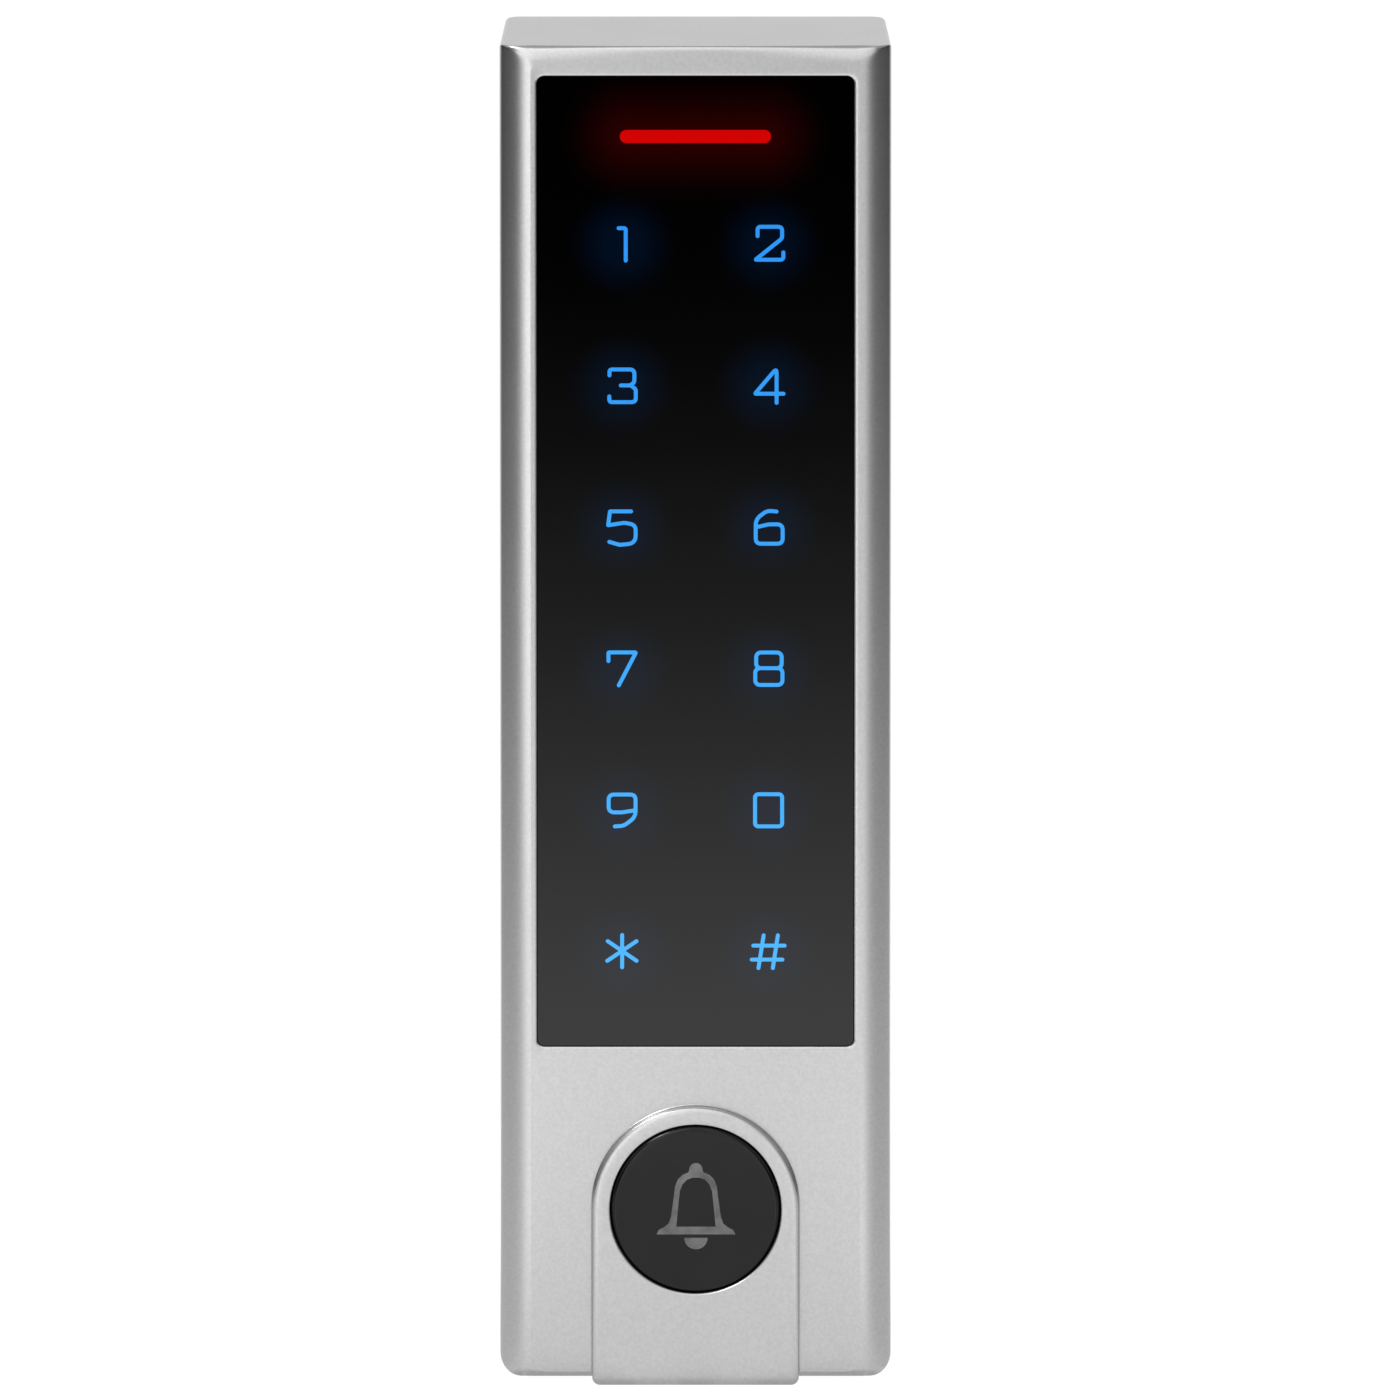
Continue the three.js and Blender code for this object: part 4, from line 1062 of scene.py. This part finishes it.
def cable_grommet():
    """A soft ring in the bracket's opening, its flange in front of the sheet."""
    front, seat, rear = GROMMET_LOW.y, -BRACKET_THICK - 0.05, GROMMET_HIGH.y
    profile = [
        (-2.0, 1.5, front + 0.3), (-1.91, 1.6, front + 0.09), (-1.7, 1.8, front), (0.9, 3.7, front),
        (1.11, 3.9, front + 0.09), (1.2, 4.0, front + 0.3), (1.2, 4.0, seat - 0.2), (1.0, 3.8, seat),
        (-0.15, 2.8, seat), (-0.15, 2.8, rear - 0.3), (-0.24, 2.7, rear - 0.09), (-0.45, 2.5, rear),
        (-1.7, 1.8, rear), (-1.91, 1.6, rear - 0.09), (-2.0, 1.5, rear - 0.3),
    ]
    shell = Shell()
    ids = shell.loft([at(cable_loop(outset, radius), y) for outset, radius, y in profile])
    shell.bridge(ids[-1], ids[0])
    piece = shell.make("grommet_ring", MATERIALS["rubber"])
    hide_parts("cable_grommet")
    return piece


def security_screw():
    """A small headless screw along Z with a six-sided socket in its lower end."""
    low, high, radius = SCREW_LOW.z, SCREW_HIGH.z, SCREW_HIGH.x

    def level(z, r, six_sided=False):
        ring = []
        for angle in [2 * math.pi * k / 48 for k in range(48)]:
            side = math.cos(math.pi / 6) / math.cos(angle % (math.pi / 3) - math.pi / 6)
            reach = r * side if six_sided else r
            ring.append((reach * math.cos(angle), SCREW_Y + reach * math.sin(angle), z))
        return ring

    outline = [(low, radius - 0.12), (low + 0.12, radius)]
    for turn in range(int((high - low - 0.6) / SCREW_PITCH)):
        z = low + 0.3 + turn * SCREW_PITCH
        outline.extend([(z + 0.05, radius), (z + 0.2, radius - 0.16), (z + 0.35, radius)])
    outline.extend([(high - 0.15, radius), (high, radius - 0.15)])
    rings = [level(low + 1.2, SOCKET_R, True), level(low, SOCKET_R, True)]
    rings.extend(level(z, r) for z, r in outline)
    shell = Shell()
    ids = shell.loft(rings)
    shell.faces.append(tuple(ids[0]))
    shell.faces.append(tuple(ids[-1]))
    piece = shell.make("security_screw_thread", MATERIALS["bright_steel"], sharp=25)
    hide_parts("security_screw")
    return piece


# ---------- camera, light and floor ----------

def aimed(thing, place, direction):
    """Puts a camera or a lamp in its place, looking along direction."""
    thing.location = place
    thing.rotation_mode = "QUATERNION"
    thing.rotation_quaternion = direction.to_track_quat("-Z", "Y")
    bpy.context.scene.collection.objects.link(thing)
    return thing


def make_camera():
    data = bpy.data.cameras.new("camera")
    data.lens = 1500.0
    data.sensor_width = 36.0
    data.clip_start = 0.1
    data.clip_end = 100
    frame_width = 178.95 * MM
    elevation = math.radians(10.5)
    aim = Vector((0.58 * MM, FRONT * MM, 1.72 * MM))
    back = Vector((0, -math.cos(elevation), math.sin(elevation)))
    place = aim + back * (frame_width * data.lens / data.sensor_width)
    bpy.context.scene.camera = aimed(bpy.data.objects.new("camera", data), place, -back)


def make_lamp():
    """One soft lamp in front, high on the left; the camera doesn't see it."""
    data = bpy.data.lights.new("key_left", "AREA")
    data.energy = 14
    data.size = 0.5
    place = Vector((-0.9, -1.3, 1.4))
    aimed(bpy.data.objects.new("key_left", data), place, -place).visible_camera = False


FRONT_BOX = {"left": 2.2, "centre": 1.05, "right": 1.4, "behind": 0.0, "all": 0.0}
FAR_FLOOR = {"left": 2.7, "centre": 0.0, "right": 1.15, "behind": 0.8, "all": 0.01}
NEAR_FLOOR = {"left": 0.86, "centre": 0.10, "right": 0.80, "behind": 0.8, "all": 0.77}
PANEL_EDGES = {"left": (-0.29, -0.085), "centre": (-0.085, 0.085), "right": (0.085, 0.29)}
CARD_LEVELS = [
    (0.0, 0.95), (0.15, 1.0), (0.22, 1.27), (0.29, 1.15), (0.41, 0.77), (0.55, 0.35), (0.69, 0.11),
    (0.83, 0.01), (1.0, 0.0)]


def panel_masks(x, y):
    """Where the studio's panels stand round the reader, seen from above, and how far off the point is."""
    far = distance(x, y)
    across, ahead = x / far, y / far
    in_front = ahead.smooth(0.02, -0.02)
    masks = {name: across.band(*edges, 0.03) * in_front for name, edges in PANEL_EDGES.items()}
    masks["behind"] = ahead.smooth(0.42, 0.70)
    return far, masks


def lit(masks, levels):
    """Each panel at its level, on top of the level of everything."""
    total = masks["left"] * levels["left"]
    for name in ("centre", "right", "behind"):
        total = total + masks[name] * levels[name]
    return total + levels["all"]


def shown_to(tree, ray, special, others, output):
    """Rays of one kind see the special shader, and all the rest see the other one."""
    path = tree.nodes.new("ShaderNodeLightPath")
    mix = tree.nodes.new("ShaderNodeMixShader")
    tree.links.new(path.outputs[ray], mix.inputs["Fac"])
    tree.links.new(others.outputs[0], mix.inputs[1])
    tree.links.new(special.outputs[0], mix.inputs[2])
    tree.links.new(mix.outputs["Shader"], tree.nodes.new(output).inputs["Surface"])


def make_world():
    """A studio seen only in reflections; the camera itself sees plain white."""
    world = bpy.data.worlds.new("studio")
    bpy.context.scene.world = world
    world.use_nodes = True
    tree = world.node_tree
    tree.nodes.clear()
    x, y, z = shaded_point(tree, output="Generated")
    _, masks = panel_masks(x, y)
    front_box = lit(masks, FRONT_BOX) * z.band(-0.02, 0.77, 0.05)
    behind = masks["behind"] * z.smooth(0.70, 0.20)
    overhead = z.smooth(0.60, 0.85)
    ceiling = z.smooth(0.10, 0.32) * 0.45
    total = (front_box + behind * 0.96 + overhead * 0.55 + 0.02).math("MAXIMUM", ceiling)
    studio = new_node(tree, "ShaderNodeBackground", Color=(1, 1, 1, 1))
    total.into(studio.inputs["Strength"])
    plain = new_node(tree, "ShaderNodeBackground", Color=(1, 1, 1, 1))
    shown_to(tree, "Is Camera Ray", plain, studio, "ShaderNodeOutputWorld")


def floor_in_gloss(tree):
    """What reflections see of the floor: its panels' light, a graded card lying straight in front, and a
    painted shadow under the reader.
    """
    x, y, _ = shaded_point(tree, "ShaderNodeNewGeometry", "Position")
    far, masks = panel_masks(x, y)
    aside = x.math("ABSOLUTE") - (HALF_X - 3.5) * MM
    before = (-0.020 - y).math("MAXIMUM", 0.002)
    beside = (aside / before).band(0.09, 0.27, 0.06) * y.smooth(-0.20, -0.10)
    near = lit(masks, NEAR_FLOOR) + beside
    farness = far.smooth(0.18, 0.85)
    open_floor = near * (1.0 - farness) + lit(masks, FAR_FLOOR) * farness
    card = (y * -1.0).ramp([(place, (level,) * 3) for place, level in CARD_LEVELS])
    on_card = x.band(-0.032, 0.032, 0.006) * y.band(-1.1, 0.0, 0.05)
    shown = tree.nodes.new("ShaderNodeMix")
    on_card.into(shown.inputs["Factor"])
    open_floor.into(shown.inputs["A"])
    card.into(shown.inputs["B"])
    # painted shadow: the floor's light in reflections is darkened by about a third in a strip under the
    # reader and just in front of it
    painted_shadow_under = x.band(-HALF_X * MM, HALF_X * MM, 0.003) * y.band(-0.030, 0.004, 0.006)
    return Value(tree, shown.outputs["Result"]) * (1.0 - painted_shadow_under * 0.36)


def make_floor():
    """A pale floor, at the level of the reader's foot."""
    size = 6.0
    height = (HOUSING_LOW.z - 0.05) * MM
    mesh = bpy.data.meshes.new("floor")
    corners = [(-size, -size), (size, -size), (size, size), (-size, size)]
    mesh.from_pydata([(x, y, height) for x, y in corners], [], [(0, 1, 2, 3)])
    made = bpy.data.materials.new("floor_pale")
    made.use_nodes = True
    tree = made.node_tree
    tree.nodes.clear()
    in_gloss = tree.nodes.new("ShaderNodeEmission")
    floor_in_gloss(tree).into(in_gloss.inputs["Strength"])
    pale = new_node(tree, "ShaderNodeBsdfDiffuse", Color=(0.9, 0.9, 0.9, 1))
    white = new_node(tree, "ShaderNodeEmission", Strength=1.09)
    plain = new_node(tree, "ShaderNodeMixShader", Fac=0.90)
    tree.links.new(pale.outputs[0], plain.inputs[1])
    tree.links.new(white.outputs[0], plain.inputs[2])
    shown_to(tree, "Is Glossy Ray", in_gloss, plain, "ShaderNodeOutputMaterial")
    mesh.materials.append(made)
    floor = bpy.data.objects.new("floor", mesh)
    bpy.context.scene.collection.objects.link(floor)


# ---------- the scene ----------

KEY_PRINT = lit_print("key_print", (0.028, 0.30, 0.92), (0.05, 0.46, 1.0), -36, 64)
STATUS_PRINT = lit_print("status_print", (0.62, 0.0, 0.0), (0.66, 0.0, 0.0), 70, 80)
BELL_PRINT = textured("bell_print", (0.145, 0.145, 0.145), 0.40, 0.6, 5000.0, 0.38, 0.08, 0.3)

make_camera()
dress_frame()
housing_body()
bell_boss()
touch_glass()
for number, label in enumerate(KEY_NAMES):
    key_sign(number, label)
status_window()
button_cap()
seal_ring()
bell_sign()
return_spring()
housing_posts()
bracket_plate()
bracket_hooks()
cable_grommet()
security_screw()

make_world()
make_floor()
make_lamp()

bpy.context.scene.view_settings.view_transform = "Standard"
